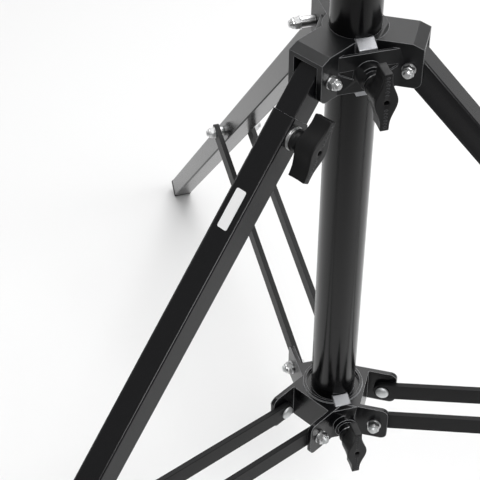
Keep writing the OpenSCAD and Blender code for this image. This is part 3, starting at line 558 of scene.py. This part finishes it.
class Workshop:
    """Makes the pieces that stand for the frame's nodes, and rides each on its body."""

    # Points of a copy closer than this become one
    weld = 0.004 * MM
    # Faces that lean from each other by less than flat become one, and by more than sharp get a rounding
    flat, sharp = math.radians(0.6), math.radians(32)
    # Least share of a face's normal along a piece for it to close the piece's end
    end_facing = 0.99

    def __init__(self, frame: Frame) -> None:
        """Keeps the frame that the pieces are for."""
        self.frame = frame

    def dress(self, finish: Finish, *nodes: str) -> None:
        """Gives nodes that stay as they are their finish."""
        for node in nodes:
            piece = self.frame.nodes[node]
            piece.data.materials.clear()
            piece.data.materials.append(finish.material())
            LOG.info("%s keeps its shape", node)

    def soften(
        self, node: str, finish: Finish, width: float, segments: int = 3, shortest: float = 0.0
    ) -> Thing:
        """Replaces a node by a copy with rounded edges.

        Args:
            node: The node to copy.
            finish: Its material.
            width: Width of the rounding, or 0 for a merged copy whose edges only its finish eases.
            segments: Faces across the rounding.
            shortest: Edges up to this length stay as they are.

        Returns:
            The new piece.
        """
        mesh = self.frame.nodes[node].data.copy()
        mesh.materials.clear()
        mesh.materials.append(finish.material())
        shape = bmesh.new()
        shape.from_mesh(mesh)
        bmesh.ops.remove_doubles(shape, verts=shape.verts, dist=self.weld)
        bmesh.ops.dissolve_limit(shape, angle_limit=self.flat, verts=shape.verts, edges=shape.edges)
        weight = shape.edges.layers.float.new("bevel_weight_edge")
        for edge in shape.edges:
            sharp = edge.is_manifold and edge.calc_face_angle(0.0) > self.sharp
            edge[weight] = 1.0 if sharp and edge.calc_length() > shortest else 0.0
        shape.to_mesh(mesh)
        shape.free()
        piece = new_object(node + "_soft", mesh)
        if width > 0:
            bevel = piece.modifiers.new("rounding", "BEVEL")
            bevel.limit_method = "WEIGHT"
            bevel.width = width
            bevel.segments = segments
            bevel.use_clamp_overlap = True
            bevel.miter_outer = "MITER_ARC"
        finish_mesh(piece, Shading.HARD)
        return self.stand_for(piece, node)

    def soften_all(self, rows: Sequence[SoftRow]) -> None:
        """Replaces the node of each row by a copy with rounded edges."""
        for node, finish, width, segments in rows:
            self.soften(node, finish, width, segments)

    def bare_ends(self, piece: Thing, finish: Finish) -> None:
        """Gives the faces that close a long piece's two ends a finish of their own."""
        mesh = piece.data
        mesh.materials.append(finish.material())
        points = read_vectors(mesh.vertices, "co")
        long = np.linalg.svd(points - points.mean(axis=0), full_matrices=False)[2][0]
        ends = np.abs(read_vectors(mesh.polygons, "normal") @ long) > self.end_facing
        mesh.polygons.foreach_set("material_index", ends.astype(np.int32))

    def make(
        self, node: str, skin: Skin, *finishes: Finish, shading: Shading = Shading.HARD, turn: bool = False
    ) -> None:
        """Makes gathered surfaces the piece that stands for a node, if asked with its faces turned out."""
        made = skin.piece(node + "_made", finishes, shading)
        if turn:
            face_outwards(made)
        self.stand_for(made, node)

    def stand_for(self, piece: Thing, *nodes: str) -> Thing:
        """Rides a piece on its nodes' body and hides the nodes that it replaces."""
        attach(piece, self.frame.body_of[nodes[0]])
        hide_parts(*nodes)
        LOG.info("%s stands for %s", piece.name, ", ".join(nodes))
        return piece


# ---------------------------------------------------------------- fasteners


@dataclass(frozen=True)
class Fastener:
    """Sizes of a bolt, its washer and its lock nut. Those that are shares are shares of the nut's flats."""

    rod: float = 4.0 * MM
    flats: float = 13.0 * MM
    height: float = 6.0 * MM
    around: int = 48

    washer: float = 8.0 * MM
    washer_height: float = 1.2 * MM
    washer_slack: float = 0.1 * MM
    washer_rim: float = 0.25 * MM

    # A hexagon's chamfer: its height, and the width of the round end face that it leaves
    chamfer_share: float = 0.16
    end_share: float = 0.94
    chamfer_steps: int = 6

    # A thread: its pitch and waves, the plain length at its end, and the chamfered tip's (inset, length)
    thread_end: float = 3.0 * MM
    pitch: float = 1.25 * MM
    pitch_steps: int = 6
    wave: float = 0.22 * MM
    plain: float = 0.8 * MM
    tip: Tuple[Pair, Pair] = ((0.5 * MM, 0.5 * MM), (1.1 * MM, 0.0))
    thread_around: int = 32

    # A lock nut's round collar, how far it reaches into the hexagon, and the nylon ring sunk in it
    collar: float = 1.6 * MM
    collar_share: float = 0.46
    collar_root: float = 0.6 * MM
    sunk: float = 0.5 * MM
    ring: float = 0.25 * MM

    # A domed head: its straight rim's share of the height, and the arc's last angle and steps
    rim_share: float = 0.25
    dome_end: float = 0.02
    dome_steps: int = 9

    @property
    def stack(self) -> float:
        """Height of a washer and a lock nut together."""
        return self.washer_height + self.height + self.collar

    def washer_on(self, skin: Skin, place: Place) -> None:
        """Adds a washer: a flat ring with its rims broken, turned round Z."""
        hole, out, high = self.rod + self.washer_slack, self.washer, self.washer_height
        rim = self.washer_rim
        profile = rounded([(hole, 0, 0), (out, 0, rim), (out, high, rim), (hole, high, 0)])
        skin.turn(place, profile, self.around)

    def hexagon_on(self, skin: Skin, place: Place, high: float, hole: float) -> None:
        """Adds a hexagon whose corners are turned away at both ends.

        The radius at each height is the hexagon's own, or a cone's where that is smaller, so the
        flats end in arcs as on a real nut.
        """
        cut, steps = self.chamfer_share * self.flats, self.chamfer_steps
        ends = np.linspace(0, cut, steps), np.linspace(high - cut, high, steps)
        levels = np.concatenate([ends[0], np.linspace(cut, high - cut, 3)[1:-1], ends[1]])
        angle = full_turn(2 * self.around)
        edge = np.minimum(levels, high - levels)[:, None]
        corner, face = self.flats / math.sqrt(3), self.end_share * self.flats / 2
        cone = face + edge * (corner - face) / (0.5 * cut)
        radius = np.minimum(hexagon_radius(angle, self.flats)[None, :], cone)
        inner = np.full((1, len(angle)), hole)
        radius = np.vstack([inner, radius, inner])
        heights = np.concatenate([[0.0], levels, [high]])[:, None]
        points = place.world(round_axis(radius, angle, heights))
        skin.add(points, grid_faces(len(radius), len(angle), True))

    def thread_on(self, skin: Skin, place: Place, start: float, end: float) -> None:
        """Adds a rod with rolled thread crests: its radius swings with height, and its end is chamfered."""
        levels = np.arange(start, end - self.plain, self.pitch / self.pitch_steps)
        radius = self.rod - self.wave * (1 + np.cos(2 * math.pi * levels / self.pitch))
        tip = np.array([[self.rod - inset, end - length] for inset, length in self.tip])
        profile = np.vstack([np.column_stack([radius, levels]), tip])
        skin.turn(place, profile, self.thread_around, False)

    def lock_nut_on(self, skin: Skin, place: Place) -> None:
        """Adds a washer, a hexagon, its round collar and the nylon ring inside the collar."""
        self.washer_on(skin, place)
        nut = place.shifted(self.washer_height)
        self.hexagon_on(skin, nut, self.height, self.rod)
        rod, out = self.rod, self.collar_share * self.flats
        root, top = self.height - self.collar_root, self.height + self.collar
        lip, floor = rod + 0.5 * (out - rod), top - self.sunk
        outer, inner = 0.6 * (out - lip), 0.2 * (out - lip)
        shell = [(rod, root, 0), (out, root, 0), (out, top, outer), (lip, top, inner)]
        skin.turn(nut, rounded(shell + [(lip, floor, 0), (rod, floor, 0)]), self.around)
        high = floor + self.ring
        ring = [(rod, floor, 0), (lip, floor, 0), (lip, high, 0), (rod, high, 0)]
        skin.turn(nut, rounded(ring), self.around, slot=1)

    def bolt_on(self, bolts: Skin, nuts: Skin, place: Place, start: float, seat: float) -> None:
        """Adds a thread from one height to beyond another, on which its washer and lock nut sit."""
        self.thread_on(bolts, place, start, seat + self.stack + self.thread_end)
        self.lock_nut_on(nuts, place.shifted(seat))

    def dome_on(self, skin: Skin, place: Place, radius: float, high: float) -> None:
        """Adds a domed head that bulges along -Z: a circle's arc with a straight rim, turned round Z."""
        bulge = np.linspace(math.pi / 2, self.dome_end, self.dome_steps)
        drop = high * self.rim_share + high * (1 - self.rim_share) * np.cos(bulge)
        profile = np.vstack([[[radius, 0.0]], np.column_stack([radius * np.sin(bulge), -drop])])
        skin.turn(place, profile[::-1], self.around, False)


@dataclass
class Hardware:
    """Bolts, screws and nuts of the pivots, by their distances from the middle of each hinge."""

    shop: Workshop
    kit: Fastener = Fastener()
    leg_kit: Fastener = Fastener(flats=11.4 * MM, washer=6.8 * MM)
    ear_out: float = 20.5 * MM
    spacer: float = 15.0 * MM
    low_ear_out: float = 31.3 * MM
    bar_in: float = 19.7 * MM
    bar_out: float = 26.0 * MM
    leg_half: float = 13.6 * MM
    clear: float = 0.3 * MM
    head_hole: float = 0.4 * MM
    head_depth: float = 1.0 * MM
    dome: Pair = (7.7 * MM, 4.0 * MM)
    dome_depth: float = 0.5 * MM
    sleeve_wall: float = 2.5 * MM
    sleeve_rim: float = 0.3 * MM

    def leg_pivots(self) -> None:
        """Hexagon bolts through the upper brackets, with their lock nuts, one of them on a spacer."""
        bolts, nuts = Skin(), Skin()
        for leg, side, spacer in zip(LEGS, (1.0, -1.0, 1.0), (0.0, 0.0, self.spacer)):
            pos, axis = self.shop.frame.hinge(f"leg_{leg}_pivot")
            place = place_along(pos, side * axis)
            head = place.shifted(-self.ear_out - self.leg_kit.height)
            self.leg_kit.hexagon_on(bolts, head, self.leg_kit.height, self.head_hole)
            start, seat = -self.ear_out - self.head_depth, self.ear_out + spacer
            self.leg_kit.bolt_on(bolts, nuts, place, start, seat)
        self.shop.make("leg_pivot_bolts", bolts, ZINC_PLATE)
        self.shop.make("leg_pivot_nuts", nuts, ZINC_PLATE, NUT_INSERT)

    def lower_pivots(self) -> None:
        """Domed screws from inside the lower collar's slots, with lock nuts outside its ears."""
        screws, nuts = Skin(), Skin()
        for leg in LEGS:
            pos, axis = self.shop.frame.hinge(f"strut_{leg}_pivot")
            for side in (-1.0, 1.0):
                place = place_along(pos, side * axis)
                self.kit.dome_on(screws, place.shifted(self.bar_in - self.clear), *self.dome)
                start = self.bar_in - self.dome_depth
                self.kit.bolt_on(screws, nuts, place, start, self.low_ear_out)
        self.shop.make("lower_pivot_screws", screws, DULL_ZINC)
        self.shop.make("lower_pivot_nuts", nuts, ZINC_PLATE, NUT_INSERT)

    def brace_bolts(self) -> None:
        """Sleeves, threads and lock nuts where the braces meet the legs."""
        inner, outer, rim = self.leg_half + self.clear, self.bar_in, self.sleeve_rim
        rod = self.kit.rod
        wide = rod + self.sleeve_wall
        sleeve = rounded([(rod, inner, 0), (wide, inner, rim), (wide, outer, rim), (rod, outer, 0)])
        for leg in LEGS:
            name = f"strut_{leg}_bolts"
            axis = self.shop.frame.hinge(f"strut_{leg}_pivot")[1]
            low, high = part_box(name)
            middle = (np.array(low) + np.array(high)) / 2
            skin = Skin()
            for side in (-1.0, 1.0):
                place = place_along(middle, side * axis)
                skin.turn(place, sleeve, self.kit.around)
                self.kit.bolt_on(skin, skin, place, inner, self.bar_out)
            self.shop.make(name, skin, ZINC_PLATE, NUT_INSERT)

    def build(self) -> None:
        """Builds all the pivots' hardware."""
        self.leg_pivots()
        self.lower_pivots()
        self.brace_bolts()
        self.shop.soften("pivot_spacer", ZINC_PLATE, 0.4 * MM, 2)


# ---------------------------------------------------------------- T-knobs


@dataclass
class TKnob:
    """A moulded T-knob: a wing-shaped face on a round hub, with a sunk hole in its middle.

    Its local X runs along the wings, its Z out of the face, and its foot is at Z 0.
    """

    shop: Workshop
    length: float = 63.0 * MM
    width: float = 23.0 * MM
    height: float = 29.5 * MM
    tip: float = 8.8 * MM
    tip_depth: float = 19.47 * MM
    sag: float = 1.4 * MM
    hub: float = 10.0 * MM
    flange: float = 11.5 * MM
    hole: float = 2.6 * MM
    hole_depth: float = 8.5 * MM
    hole_rim: float = 0.5 * MM
    lip: float = 1.1 * MM
    hollow: float = 0.35 * MM
    neck: float = 1.4 * MM
    stud: float = 4.0 * MM
    around: int = 224

    # The outline: how narrow its bell is, its points before they are spaced evenly, and rounds of smoothing
    bell_power: float = 1.7
    line_points: int = 241
    smoothings: int = 2

    # Shares of the way at which rings lie: over the face, down the side, and along the underside
    face_steps: Tuple[float, ...] = (0.25, 0.5, 0.75, 0.92)
    side_steps: Tuple[float, ...] = (0.2, 0.4, 0.6, 0.8)
    under_steps: Tuple[float, ...] = (0.35, 0.7, 1.0)
    turn_steps: int = 5

    # Pips on the face: their number on each wing, where they run between hub and tip, their (radius, height)
    # section and how much wider it is across the wings than along them
    pips: int = 6
    pip_run: Pair = (0.26, 0.86)
    pip_section: Tuple[Pair, ...] = ((0.06, 0.5), (0.6, 0.42), (0.95, 0.2), (1.1, -0.3))
    pip_stretch: Triple = (0.9, 1.7, 1.0)
    pip_around: int = 12

    # Points at least this share of the farthest point's distance belong to the wings' tips
    tip_share: float = 0.9

    def outline(self) -> np.ndarray:
        """The face from outside: half its width is the tips' plus a bell, a power of a raised cosine.

        Returns:
            Points (x, y) once round, evenly spaced along the line, its sharp corners rounded by
            averaging neighbours.
        """
        u = np.linspace(-1, 1, self.line_points)
        bell = ((1 + np.cos(math.pi * u)) / 2) ** self.bell_power
        half = self.tip / 2 + (self.width - self.tip) / 2 * bell
        upper = np.column_stack([u * self.length / 2, half])
        lower = np.column_stack([u[::-1] * self.length / 2, -half[::-1]])
        line = np.vstack([upper, lower, upper[:1]])
        run = np.concatenate([[0], np.cumsum(np.linalg.norm(np.diff(line, axis=0), axis=1))])
        even = np.linspace(0, run[-1], self.around, endpoint=False)
        points = np.column_stack([np.interp(even, run, line[:, k]) for k in (0, 1)])
        for _ in range(self.smoothings):
            points = (np.roll(points, 1, 0) + 2 * points + np.roll(points, -1, 0)) / 4
        return points

    def underside(self, x: np.ndarray) -> np.ndarray:
        """Height of the wings' underside at x: the tips' own, less a shallow bell towards the hub."""
        bell = (1 + np.cos(math.pi * np.clip(2 * x / self.length, -1, 1))) / 2
        return self.height - self.tip_depth - self.sag * bell

    def inset(self, outline: np.ndarray, depth: float) -> np.ndarray:
        """The outline moved inwards along its own normal."""
        along = np.roll(outline, -1, 0) - np.roll(outline, 1, 0)
        normal = np.column_stack([-along[:, 1], along[:, 0]]) / np.linalg.norm(along, axis=1)[:, None]
        inwards = -np.sign(np.sum(normal * outline)) * normal
        return outline + depth * inwards

    def hole_rings(self) -> List[Pair]:
        """Radius and depth below the face of the hole's rings, from its floor up over its broken rim."""
        hole, deep, rim = self.hole, self.hole_depth, self.hole_rim
        broken = (hole + 0.2 * MM, 0.12 * MM)
        return [(0.2 * hole, deep), (hole, deep), (hole, rim), broken, (hole + rim, 0.0)]

    def hub_rings(self, foot: float) -> List[Pair]:
        """Radius and height of the hub's rings, from the underside's lowest point down to the knob's foot."""
        hub, flange, rim = self.hub, self.flange, 0.3 * MM
        neck = [(hub + 0.4 * MM, foot - 0.4 * MM), (hub, foot - self.neck), (hub, 3.2 * MM)]
        step = [(hub + 0.6 * MM, 2.5 * MM), (flange - rim, 2.3 * MM), (flange, 2.0 * MM)]
        return neck + step + [(flange, rim), (flange - rim, 0.0), (self.stud, 0.0)]

    def surface(self) -> np.ndarray:
        """The knob as rings from its hole's floor over the face, down its side and hub to its foot.

        Each ring is a circle, or the outline moved inwards by an amount, at a height that may
        follow the underside. Circle and outline rings are joined point by point.
        """
        line = self.outline()
        angle = np.arctan2(line[0, 1], line[0, 0]) - full_turn(self.around)
        circle = np.column_stack([np.cos(angle), np.sin(angle)])
        top, low = self.height, self.underside(line[:, 0])
        rings: List[np.ndarray] = []

        def ring(flat: np.ndarray, high: Any) -> None:
            """Adds one ring at a height."""
            rings.append(np.column_stack([flat, np.broadcast_to(high, len(flat))]))

        for radius, depth in self.hole_rings():
            ring(circle * radius, top - depth)
        start, edge = circle * (self.hole + self.hole_rim), self.inset(line, self.lip)
        for share in self.face_steps:
            ring(start * (1 - share) + edge * share, top)
        turn = np.linspace(0, math.pi / 2, self.turn_steps)
        for t in turn:
            ring(self.inset(line, self.lip * (1 - math.sin(t))), top - self.lip * (1 - math.cos(t)))
        for share in self.side_steps:
            sunk = self.hollow * math.sin(math.pi * share)
            ring(self.inset(line, sunk), top - self.lip + share * (low + self.lip - top + self.lip))
        for t in turn:
            ring(self.inset(line, self.lip * (1 - math.cos(t))), low + self.lip * (1 - math.sin(t)))
        for share in self.under_steps:
            flat = edge * (1 - share) + circle * (self.hub + self.neck) * share
            ring(flat, self.underside(flat[:, 0]))
        for radius, high in self.hub_rings(float(self.underside(np.array([0.0]))[0])):
            ring(circle * radius, high)
        return np.stack(rings)

    def pips_on(self, skin: Skin, place: Place) -> None:
        """Adds a row of small moulded pips along each wing's face: flat oval domes."""
        profile = np.array(self.pip_section) * MM
        dome = turned_surface(profile, self.pip_around)
        faces = [face[::-1] for face in grid_faces(len(profile), self.pip_around, False)]
        spots = np.linspace(*self.pip_run, self.pips) * self.length / 2
        for x in np.concatenate([-spots, spots]):
            skin.add(place.world(dome * self.pip_stretch + [x, 0, self.height]), faces)

    def place(self, name: str) -> Place:
        """A knob's place, read from its hinge and from its node's own points."""
        pos, axis = self.shop.frame.hinge(name + "_knob_turn")
        away = read_vectors(self.shop.frame.nodes[name + "_t_knob"].data.vertices, "co") - pos
        along = away @ axis
        foot = pos + axis * float(along.min())
        across = away - along[:, None] * axis
        reach = np.linalg.norm(across, axis=1)
        wing = across[np.argmax(reach)]
        far = across[reach > self.tip_share * np.linalg.norm(wing)]
        far = far * np.sign(far @ wing)[:, None]
        return place_along(foot, axis, far.mean(axis=0))

    def build(self, *names: str) -> None:
        """Makes the knobs of the given names in their nodes' places. Their studs keep their shape."""
        rings = self.surface()
        for name in names:
            place = self.place(name)
            skin = Skin()
            skin.add(place.world(rings.reshape(-1, 3)), grid_faces(len(rings), self.around, False))
            self.pips_on(skin, place)
            self.shop.make(name + "_t_knob", skin, FILLED_NYLON, shading=Shading.ROUND, turn=True)
            self.shop.dress(ZINC_PLATE, name + "_knob_stud")


# ---------------------------------------------------------------- sub-assemblies


@dataclass
class RoundTube:
    """A drawn tube: its wall's section, with broken rims, is turned round the stand's axis."""

    shop: Workshop
    wall: float
    rim: float = 0.4 * MM
    around: int = 160

    def build(self, node: str, finish: Finish) -> None:
        """Makes the tube in a node's place, between the heights of its box."""
        low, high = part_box(node)
        out, rim = (high.x - low.x) / 2, self.rim
        inner = out - self.wall
        profile = rounded([(out, low.z, rim), (out, high.z, rim), (inner, high.z, rim), (inner, low.z, rim)])
        skin = Skin()
        skin.turn(Place((0.0, self.shop.frame.axis_y, 0.0)), profile, self.around)
        self.shop.make(node, skin, finish, turn=True)


@dataclass
class Column:
    """Base column with its plug and bush."""

    shop: Workshop
    wall: float = 2.0 * MM

    def build(self) -> None:
        """Builds the column."""
        RoundTube(self.shop, self.wall).build("column_tube", GLOSS_LACQUER)
        self.shop.dress(ACETAL, "column_plug", "column_bush")


@dataclass
class Collars:
    """The two clamp collars, their shoes and their knobs.

    The upper collar's underside is one face of many corners, which any rounding would carry across
    its bore, so only its finish eases its edges.
    """

    shop: Workshop
    rounding: float = 0.9 * MM
    shortest: float = 10.0 * MM
    shoes: Tuple[SoftRow, ...] = tuple(
        (name + "_clamp_shoe", RAW_ALUMINIUM, 1.6 * MM, 4) for name in ("upper", "lower")
    )

    def build(self) -> None:
        """Builds castings, shoes and knobs."""
        self.shop.soften("upper_collar", CASTING_COAT, 0.0)
        self.shop.soften("lower_collar", SMOOTH_COAT, self.rounding, 3, self.shortest)
        self.shop.soften_all(self.shoes)
        TKnob(self.shop).build("upper", "lower")


@dataclass
class Legs:
    """Square legs with their feet, the levelling sleeve with its blank plate, and its knob.

    Only the tubes' long edges are rounded.
    """

    shop: Workshop
    corner: float = 2.2 * MM
    inner_corner: float = 1.6 * MM
    shortest: float = 150.0 * MM
    rest: Tuple[SoftRow, ...] = (
        ("leg_a_knob_boss", ZINC_PLATE, 0.4 * MM, 3),
        *((f"leg_{leg}_foot", RUBBER, 1.5 * MM, 4) for leg in LEGS),
    )

    def build(self) -> None:
        """Builds the three legs."""
        sleeve = self.shop.soften("leg_a_outer_tube", SATIN_COAT, self.corner, 5, self.shortest)
        self.shop.bare_ends(sleeve, SAWN_STEEL)
        for node in ("leg_b_tube", "leg_c_tube"):
            self.shop.soften(node, SATIN_COAT, self.corner, 5, self.shortest)
        self.shop.soften("leg_a_inner_tube", SATIN_COAT, self.inner_corner, 4, self.shortest)
        self.shop.dress(ACETAL, "leg_a_guide")
        self.shop.soften_all(self.rest)
        self.shop.dress(WHITE_FILM, "leg_label")
        TKnob(self.shop).build("leg")


@dataclass
class Braces:
    """Pairs of flat bars between the lower collar and the legs."""

    shop: Workshop
    rounding: float = 0.9 * MM

    def build(self) -> None:
        """Builds the bars."""
        for leg in LEGS:
            self.shop.soften(f"strut_{leg}_bars", BAR_COAT, self.rounding)


@dataclass
class CrankCase:
    """Housing, cover, gears, crank arm and grip."""

    shop: Workshop
    soft: Tuple[SoftRow, ...] = (
        ("gear_housing", CASTING_COAT, 1.2 * MM, 3),
        ("gear_cover", CASTING_COAT, 1.0 * MM, 3),
        ("cover_screws", ZINC_PLATE, 0.3 * MM, 2),
        ("crank_arm", CASTING_COAT, 1.0 * MM, 3),
        ("crank_nut", ZINC_PLATE, 0.6 * MM, 3),
        ("grip_pin", ZINC_PLATE, 0.5 * MM, 3),
    )

    # The grip's barrel: its length and bore, and its radius at the ends and how far it swells, in millimetres
    grip_length: float = 88.0 * MM
    grip_bore: float = 4.1 * MM
    grip_slim: float = 9.2
    grip_swell: float = 3.5
    swell_power: float = 0.7
    # Where the swell's half wave starts, and the share of it that the barrel takes
    swell_span: Pair = (0.08, 0.8)
    # The ends' rounding: how much the radius loses there, in millimetres, over what share of the length
    end_loss: float = 2.2
    end_share: float = 0.035
    # The flutes: their number, half their depth, and how far from the middle they run
    flutes: int = 12
    flute_depth: float = 0.35 * MM
    flute_reach: float = 0.3
    grip_rows: int = 41
    grip_around: int = 96

    def build(self) -> None:
        """Builds the crank."""
        self.shop.soften_all(self.soft)
        self.shop.dress(SINTERED_BRONZE, "shaft_bushes")
        self.shop.dress(BRAKE_LINING, "brake_pads")
        self.shop.dress(MACHINED_STEEL, "pinion_shaft", "drive_gear", "crank_shaft", "brake_disc")
        self.grip()

    def grip(self) -> None:
        """The turning handle: a barrel whose radius swells with height and has shallow flutes around."""
        axis = self.shop.frame.hinge("grip_turn")[1]
        low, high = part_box("crank_grip")
        middle = (np.array(low) + np.array(high)) / 2
        place = place_along(middle - axis * self.grip_length / 2, axis)
        t = np.linspace(0, 1, self.grip_rows)
        begin, span = self.swell_span
        wave = np.sin(math.pi * np.clip(begin + span * t, 0, 1)) ** self.swell_power
        ends = np.minimum(1.0, np.sqrt(np.clip(np.minimum(t, 1 - t) / self.end_share, 0.0, 1.0)))
        radius = (self.grip_slim + self.grip_swell * wave - self.end_loss * (1 - ends)) * MM
        angle = full_turn(self.grip_around)
        depth = self.flute_depth * np.exp(-(((t - 0.5) / self.flute_reach) ** 4))
        body = radius[:, None] - depth[:, None] * (1 + np.cos(self.flutes * angle))[None, :]
        bore = np.full((1, self.grip_around), self.grip_bore)
        body = np.vstack([bore, body, bore])
        heights = np.concatenate([[0], t, [1]])[:, None] * self.grip_length
        skin = Skin()
        points = place.world(round_axis(body, angle, heights))
        skin.add(points, grid_faces(len(body), self.grip_around, True))
        self.shop.make("crank_grip", skin, FILLED_NYLON, shading=Shading.ROUND, turn=True)


@dataclass
class Risers:
    """The cranked riser, the upper riser and the lamp socket."""

    shop: Workshop
    wall: float = 1.8 * MM
    soft: Tuple[SoftRow, ...] = (
        ("riser_collar", CASTING_COAT, 1.0 * MM, 3),
        ("top_socket", CASTING_COAT, 1.0 * MM, 3),
    )

    def build(self) -> None:
        """Builds the risers."""
        tube = RoundTube(self.shop, self.wall)
        tube.build("riser_tube", CHROME)
        tube.build("top_riser_tube", CHROME)
        self.shop.dress(MACHINED_STEEL, "riser_rack")
        self.shop.dress(ACETAL, "riser_guide", "riser_bush", "top_riser_guide")
        self.shop.soften_all(self.soft)
        TKnob(self.shop).build("riser", "socket")


# ---------------------------------------------------------------- studio


@dataclass(frozen=True)
class SoftBox:
    """A square lamp: its heading in degrees, distance from the column, height, side and power."""

    name: str
    heading: float
    reach: float
    high: float
    size: float
    power: float


@dataclass
class Studio:
    """Floor, lamps, world and camera. Headings are in degrees from X round the column."""

    axis_y: float

    # The way back, along which the painted shade on the floor lifts and the surround brightens
    back: float = 130.0

    # The floor: half its side, its roughness, its two colours (greyed by painted shade in front, pale paper
    # behind), and (distance back, share of the second) pairs
    floor_half: float = 7.0
    floor_roughness: float = 0.9
    paper_and_painted_shade: Tuple[str, str] = ("#949494", "#ebebeb")
    painted_shade_ramp: Tuple[Pair, Pair] = ((-1.2, 0.0), (0.1, 1.0))

    # The surround: its colour, and (share of a direction that points back, strength) pairs
    surround: str = "#ffffff"
    light_ramp: Tuple[Pair, Pair] = ((-0.2, 0.34), (0.9, 1.0))

    aim_height: float = 0.5
    boxes: Tuple[SoftBox, ...] = (
        SoftBox("overhead", 125.0, 1.4, 3.0, 2.2, 54.0),
        SoftBox("side", 50.0, 3.0, 1.4, 1.6, 23.0),
        SoftBox("key", -25.0, 1.7, 2.7, 1.1, 38.0),
    )

    camera_at: Triple = (0.7125, -0.8813, 1.563)
    tilt: float = 48.2
    heading: float = 44.4
    lens: float = 107.34
    sensor: float = 36.0

    def build(self) -> None:
        """Builds the studio."""
        self.floor()
        self.lamps()
        self.world()
        self.camera()

    def backwards(self, tree: Tree, vector: Socket) -> Socket:
        """How far back a vector points or lies: its dot product with the level direction back."""
        turn = math.radians(self.back)
        way = (math.cos(turn), math.sin(turn), 0.0)
        settings = {"operation": "DOT_PRODUCT", 1: way}
        return add_node(tree, "ShaderNodeVectorMath", settings, {0: vector}).outputs["Value"]

    def paper(self) -> bpy.types.Material:
        """Matt pale paper, greyed by painted shade in front of the stand and pale behind it."""
        made = bpy.data.materials.new("studio_floor")
        made.use_nodes = True
        tree = made.node_tree
        shader = tree.nodes["Principled BSDF"]
        where = add_node(tree, "ShaderNodeTexCoord")
        behind = self.backwards(tree, where.outputs["Object"])
        # Painted shade: the paper's colour greys towards the front of the stand
        share = map_range(tree, behind, *self.painted_shade_ramp, smooth=True)
        paper_with_painted_shade = mix_colours(tree, share, *self.paper_and_painted_shade)
        tree.links.new(paper_with_painted_shade, shader.inputs["Base Color"])
        shader.inputs["Roughness"].default_value = self.floor_roughness
        return made

    def floor(self) -> None:
        """A wide pale floor under the feet, with painted shade in front of the stand."""
        half = self.floor_half
        mesh = bpy.data.meshes.new("floor")
        corners = [(-half, -half, 0.0), (half, -half, 0.0), (half, half, 0.0), (-half, half, 0.0)]
        mesh.from_pydata(corners, [], [(0, 1, 2, 3)])
        mesh.materials.append(self.paper())
        floor = new_object("floor", mesh)

    def lamps(self) -> None:
        """Three soft boxes: a broad one high behind the stand, one at its right, and a small key in front."""
        aim = Vector((0.0, self.axis_y, self.aim_height))
        for box in self.boxes:
            turn = math.radians(box.heading)
            across, behind = box.reach * math.cos(turn), box.reach * math.sin(turn)
            at = Vector((across, self.axis_y + behind, box.high))
            light = bpy.data.lights.new(box.name, "AREA")
            light.shape = "SQUARE"
            light.size = box.size
            light.energy = box.power
            made = new_object(box.name, light)
            made.location = at
            made.rotation_euler = (aim - at).to_track_quat("-Z", "Y").to_euler()

    def world(self) -> None:
        """A surround that is white behind the stand and falls off to grey in front of it.

        Its brightness follows the share of each direction that points backwards.
        """
        world = bpy.data.worlds.new("surround")
        world.use_nodes = True
        tree = world.node_tree
        where = add_node(tree, "ShaderNodeTexCoord")
        share = self.backwards(tree, where.outputs["Generated"])
        light = map_range(tree, share, *self.light_ramp, smooth=True)
        tree.links.new(light, tree.nodes["Background"].inputs["Strength"])
        tree.nodes["Background"].inputs["Color"].default_value = srgb(self.surround)
        bpy.context.scene.world = world

    def camera(self) -> None:
        """The camera, looking steeply down past the upper collar."""
        data = bpy.data.cameras.new("camera")
        data.lens = self.lens
        data.sensor_width = self.sensor
        made = new_object("camera", data)
        x, y, z = self.camera_at
        made.location = (x, self.axis_y + y, z)
        made.rotation_euler = (math.radians(self.tilt), 0.0, math.radians(self.heading))
        bpy.context.scene.camera = made


def main() -> None:
    """Builds the studio and then every sub-assembly."""
    logging.basicConfig(level=logging.INFO, format="%(name)s: %(message)s")
    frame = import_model()
    stand = Frame(frame)
    bpy.context.scene.view_settings.view_transform = "Standard"
    Studio(stand.axis_y).build()
    shop = Workshop(stand)
    Column(shop).build()
    Collars(shop).build()
    Hardware(shop).build()
    Legs(shop).build()
    Braces(shop).build()
    CrankCase(shop).build()
    Risers(shop).build()


if __name__ == "__main__":
    main()
